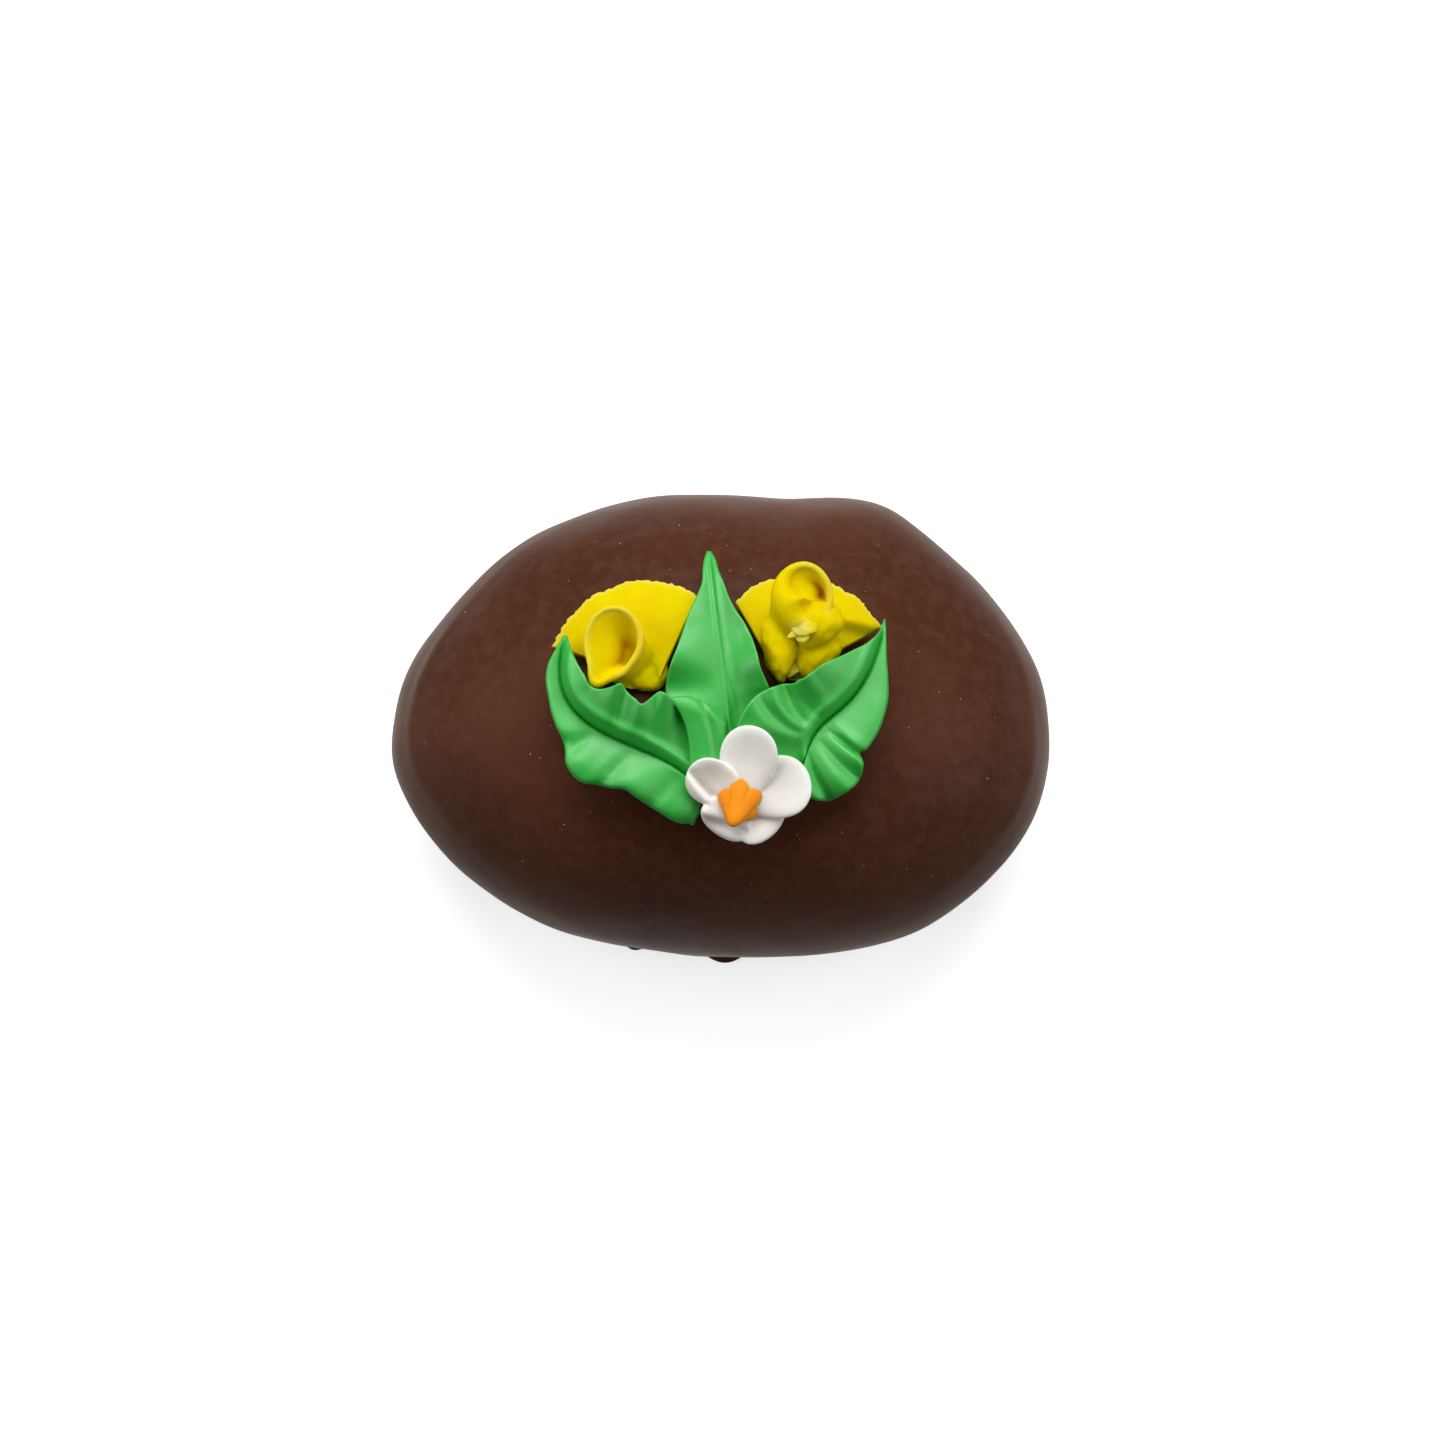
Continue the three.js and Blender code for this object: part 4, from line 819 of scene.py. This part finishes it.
def mark(piece, attribute, lines):
    """Sets an attribute from 0 to 1 near the given lines: points, width in mm, strength."""
    points = skin_points(piece)
    share = np.zeros(len(points))
    for line, width, strength in lines:
        nearest = np.full(len(points), 1e9)
        for p in line:
            nearest = np.minimum(nearest, np.sum((points - p) ** 2, 1))
        share = np.maximum(share, strength * np.exp(-nearest / width ** 2))
    layer = piece.data.attributes.new(attribute, "FLOAT", "POINT")
    layer.data.foreach_set("value", share.astype(np.float32))


for name, bud in ROSEBUDS.items():
    roll, fan = bud["roll"], bud["fan"]
    soft = [make_roll(roll)] + [make_fold(*fold) for fold in bud["folds"]]
    piece = fuse(f"{name}_icing", soft, FUSED_GRAIN, FUSED_SOFTENING, yellow_icing)
    skin = skin_points(piece)
    flakes = [make_flake(*flake, skin, yellow_icing) for flake in bud["flakes"]]
    piece = join([piece, make_fan(fan, yellow_icing), *(flake for flake, at in flakes)])
    v = np.linspace(0, 1, 160)
    degrees = np.linspace(0, 360, 120)
    rim = fan_point(fan, np.ones_like(v), v)
    thin = degrees[roll_wall(roll, degrees) < roll["wall"] + THIN]
    mouth = roll_outer(roll, thin, np.ones_like(thin), roll["wall"] * 0.5)
    torn = [at for flake, at in flakes]
    mark(piece, "pale", [(rim, *PALE_RIM), (mouth, *PALE_MOUTH), (torn, *PALE_FLAKES)])
    # Painted shade: the throat of each hollow is marked darker, where the roll shades it.
    throat = roll_inner(roll, degrees, np.full_like(degrees, 0.02))
    mark(piece, "deep", [(throat, *THROAT_PAINTED_SHADE)])
    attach(piece, "root")
    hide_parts(name)


# ---- Blossom -----------------------------------------------------------------
# A five-petalled blossom of white royal icing, pressed out petal by petal with a turn of the nail,
# so that each petal is a plump lobe that lies over the next one clockwise, and two of them folded.

# The middle of the blossom, how far its face leans in degrees, and what its petals share: thickness,
# cupped rims, hollow middles, how high they lie, where one starts and has its middle, how full it is
# and how much narrower at its start, up to where its level rises and from where it droops.
BLOSSOM = dict(at=(2.9, -15.0), lift=2.85, lean=(-4, -14), thickness=1.8, cup=1.2, hollow=0.7, base=0.5,
               start=-0.1, middle=0.45, fullness=0.86, narrowing=0.22, rise=0.4, droop_from=0.6)
# Each petal: direction, length, half width, level, how much its clockwise side stands up, how much
# its tip droops, and a fold from one place to another in shares of length and half width.
PETALS = [
    dict(turn=79, length=10.9, half_width=4.7, level=0.2, twist=1.1, droop=0.0, fold=None),
    dict(turn=19, length=10.5, half_width=5.0, level=0.0, twist=1.2, droop=0.2, fold=None),
    dict(turn=-46, length=6.9, half_width=4.5, level=-0.7, twist=0.4, droop=0.5, fold=None),
    dict(turn=235, length=6.2, half_width=4.4, level=-0.1, twist=0.5, droop=1.6,
         fold=dict(start=(0.55, 0.7), end=(0.8, -0.5), deep=0.7, wide=0.7)),
    dict(turn=148, length=8.6, half_width=3.9, level=0.3, twist=0.9, droop=0.2,
         fold=dict(start=(0.9, 0.15), end=(0.3, 0.6), deep=1.1, wide=0.5)),
]
# A fold is deep up to this far from its middle, in shares of its length, and then fades out. Its
# valley has a steep and a gentle side, in shares of its width. Beyond the steep side is a bank: its
# height as a share of the depth, its distance as a share of the width and in mm, and its own width.
FOLD = dict(middle=0.6, half=0.6, fading=0.02, steep=0.6, gentle=1.5, bank=0.6, bank_at=(1.1, 0.3),
            bank_width=0.9)

white_icing = new_icing("white_icing", (0.83, 0.80, 0.74), (0.88, 0.86, 0.81), 0.55, 2200, 0.35, soft=0.6,
                        glow=(1.0, 1.0, 1.0))


def on_face(a, b, c):
    """Places on the leaning face of the blossom: a along +X, b along +Y, c out of the face."""
    lean = [math.sin(math.radians(d)) for d in BLOSSOM["lean"]]
    normal = np.array([*lean, math.sqrt(1 - lean[0] ** 2 - lean[1] ** 2)])
    along = np.array([1.0, 0, 0]) - normal * normal[0]
    along /= np.linalg.norm(along)
    across = np.cross(normal, along)
    x, y = BLOSSOM["at"]
    origin = np.array([x, y, chocolate(x, y) + BLOSSOM["lift"]])
    outer = np.multiply.outer
    return origin + outer(a, along) + outer(b, across) + outer(c, normal)


def fold_depth(petal, u, v):
    """How far a petal's fold sinks it: a valley along a line, with one bank higher than the other."""
    fold = petal["fold"]
    if not fold:
        return np.zeros_like(u)
    size = np.array([petal["length"], petal["half_width"]])
    start, end = np.array(fold["start"]) * size, np.array(fold["end"]) * size
    way = end - start
    length = np.linalg.norm(way)
    way = way / length
    x, y = u * size[0] - start[0], v * size[1] - start[1]
    along = (x * way[0] + y * way[1]) / length
    off = x * way[1] - y * way[0]
    beyond = np.clip(np.abs(along - FOLD["middle"]) - FOLD["half"], 0, None)
    valley = bump(off, 0, fold["wide"] * np.where(off > 0, FOLD["steep"], FOLD["gentle"]))
    bank = bump(off, FOLD["bank_at"][0] * fold["wide"] + FOLD["bank_at"][1], FOLD["bank_width"])
    return fold["deep"] * np.exp(-beyond ** 2 / FOLD["fading"]) * (valley - FOLD["bank"] * bank)


def petal_loop(petal, share, up, around):
    length, half_width = petal["length"], petal["half_width"]
    phi = np.linspace(0, 2 * math.pi, around, endpoint=False)
    along = length * between(BLOSSOM["middle"], BLOSSOM["start"], share * np.cos(phi))
    fullness = BLOSSOM["fullness"] - BLOSSOM["narrowing"] * np.cos(phi)
    wide = half_width * share * np.sin(phi) * fullness
    u = along / length
    v = wide / half_width
    puff = 0.5 * BLOSSOM["thickness"] * math.sqrt(max(0, 1 - share ** 4))
    c = BLOSSOM["base"] + BLOSSOM["cup"] * (u ** 2 + v ** 2 * u)
    c = c + petal["level"] * np.clip(u / BLOSSOM["rise"], 0, 1)
    c = c - BLOSSOM["hollow"] * np.sin(math.pi * u) * (1 - v * v) - petal["twist"] * v * u
    drooping = np.clip((u - BLOSSOM["droop_from"]) / (1 - BLOSSOM["droop_from"]), 0, 1)
    c = c - petal["droop"] * drooping ** 2
    c = c - fold_depth(petal, u, v) * (1 - share ** 6)
    turn = math.radians(petal["turn"])
    cosine, sine = math.cos(turn), math.sin(turn)
    return on_face(along * cosine - wide * sine, along * sine + wide * cosine, c + up * puff)


def make_petal(petal):
    around = 140
    shares = np.sin(np.linspace(0.04, 1, 32) * math.pi / 2)
    loops = [petal_loop(petal, s, -1, around) for s in shares]
    loops += [petal_loop(petal, s, 1, around) for s in shares[-2::-1]]
    return make_rings("petal", loops, loops[0].mean(0), loops[-1].mean(0), None)


PETAL_GRAIN, PETAL_SOFTENING = 0.12, 3
petals = [make_petal(petal) for petal in PETALS]
blossom = fuse("blossom_icing", petals, PETAL_GRAIN, PETAL_SOFTENING, white_icing)
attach(blossom, "root")
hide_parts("blossom")


# ---- Blossom centre ----------------------------------------------------------
# One star of orange royal icing, pressed out with a small star tip and pulled off to the front: five
# round lobes at the foot, and a smooth point that bends over them.

# The grooves between the lobes fade on the way up. The foot is a little drawn in up to its height,
# and the star narrows by a waist up to a share of its height and by its taper up to the point.
CENTRE = dict(radius=3.7, height=4.6, lobes=5, roundness=0.7, groove_depth=0.42, turn=92, foot=0.9,
              foot_height=0.12, taper=0.5, waist=0.25, waist_at=0.5, fading=2.0, lean=(-0.9, -2.9),
              bend=1.3, lift=0.5, point=0.985)

orange_icing = new_icing("orange_icing", (0.72, 0.20, 0.002), (0.78, 0.26, 0.005), 0.5, 2200, 0.3,
                         glow=(1.0, 0.4, 0.05), tint=(1, 0.8, 0.3))


def make_centre():
    around = 200
    phi = np.linspace(0, 2 * math.pi, around, endpoint=False)
    turned = CENTRE["lobes"] / 2 * (phi - math.radians(CENTRE["turn"]))
    wave = np.abs(np.cos(turned)) ** CENTRE["roundness"]
    loops = []
    for h in np.linspace(0, CENTRE["point"], 70):
        groove = 1 - CENTRE["groove_depth"] * (1 - wave) * (1 - h) ** CENTRE["fading"]
        foot = between(CENTRE["foot"], 1, min(h / CENTRE["foot_height"], 1))
        narrowed = (1 - h) ** CENTRE["taper"] * (1 - CENTRE["waist"] * min(h / CENTRE["waist_at"], 1))
        radius = CENTRE["radius"] * groove * foot * narrowed
        leaned = h ** CENTRE["bend"]
        a = radius * np.cos(phi) + CENTRE["lean"][0] * leaned
        b = radius * np.sin(phi) + CENTRE["lean"][1] * leaned
        loops.append(on_face(a, b, np.full(around, CENTRE["lift"] + CENTRE["height"] * h)))
    tip = on_face(*CENTRE["lean"], CENTRE["lift"] + CENTRE["height"])
    return make_rings("blossom_centre_icing", loops, on_face(0, 0, CENTRE["lift"]), tip, orange_icing)


centre = make_centre()
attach(centre, "root")
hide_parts("blossom_centre")


# ---- Table, light and camera -------------------------------------------------
# A white table, a wide soft light on each side and one from above and behind, and a camera that
# looks down on the egg, a little from the front.

def area_light(name, place, size, power, aim=(0, 0, 0.02)):
    lamp = bpy.data.lights.new(name, "AREA")
    lamp.shape = "RECTANGLE"
    lamp.size, lamp.size_y = size
    lamp.energy = power
    holder = new_object(name, lamp)
    holder.location = place
    holder.rotation_euler = (Vector(aim) - Vector(place)).to_track_quat("-Z", "Y").to_euler()


area_light("light_left", (-0.95, 0.05, 0.62), (1.1, 0.8), 6.0)
area_light("light_right", (0.95, -0.02, 0.62), (1.1, 0.8), 6.0)
area_light("light_back", (0.0, 0.80, 0.82), (1.2, 0.6), 14.5)

world = bpy.data.worlds.new("studio")
world.use_nodes = True
tree = world.node_tree
seen = add_node(tree, "ShaderNodeLightPath").outputs["Is Camera Ray"]
sky = tree.nodes["Background"].inputs
sky["Color"].default_value = (1, 1, 1, 1)
tree.links.new(spread_out(tree, seen, 0, 1, 0.04, 1.0), sky["Strength"])
bpy.context.scene.world = world

# The camera sees a white table that glows a little. All other rays see a darker one, most of all
# away from the egg, so that little light comes up from it.
table_top = bmesh.new()
bmesh.ops.create_grid(table_top, x_segments=1, y_segments=1, size=1.6)
table_mesh = bpy.data.meshes.new("table")
table_top.to_mesh(table_mesh)
table_top.free()
table = new_object("table", table_mesh)
white, tree = new_material("white_table")
rays = add_node(tree, "ShaderNodeLightPath")
place = add_node(tree, "ShaderNodeTexCoord").outputs["Object"]
reach = add_node(tree, "ShaderNodeVectorMath", {0: place}, operation="LENGTH").outputs["Value"]
far = spread_out(tree, reach, 0.05, 0.10, 0.35, 1.0)
unseen = spread_out(tree, rays.outputs["Is Camera Ray"], 0, 1, 1.0, 0.0)
dim = calculate(tree, "MULTIPLY", far, unseen)
add_surface(tree, {
    "Base Color": blend_colours(tree, dim, (0.80, 0.80, 0.80), (0.04, 0.04, 0.04)),
    "Roughness": 0.7, "Specular IOR Level": 0.2, "Emission Color": (1, 1, 1, 1),
    "Emission Strength": spread_out(tree, unseen, 0, 1, 0.63, 0.0)})
table_mesh.materials.append(white)

ELEVATION = math.radians(82)
LENS, SENSOR, FRAME_PIXELS, MM_PER_PIXEL = 90.0, 36.0, 1445, 100 / 660
distance = FRAME_PIXELS * MM_PER_PIXEL * LENS / SENSOR
back = Vector((0, -math.cos(ELEVATION), math.sin(ELEVATION)))
right = Vector((1, 0, 0))
up = back.cross(right)
target = Vector(SHIFT) + Vector((0, 0, EGG["waist"]))
eye = (target + back * distance) * MM
camera = bpy.data.cameras.new("camera")
camera.lens, camera.sensor_width = LENS, SENSOR
camera.shift_x = camera.shift_y = 2.0 / FRAME_PIXELS
camera.clip_end = 20
holder = new_object("camera", camera)
holder.matrix_world = Matrix.Translation(eye) @ Matrix((right, up, back)).transposed().to_4x4()
bpy.context.scene.camera = holder
bpy.context.scene.view_settings.view_transform = "Standard"
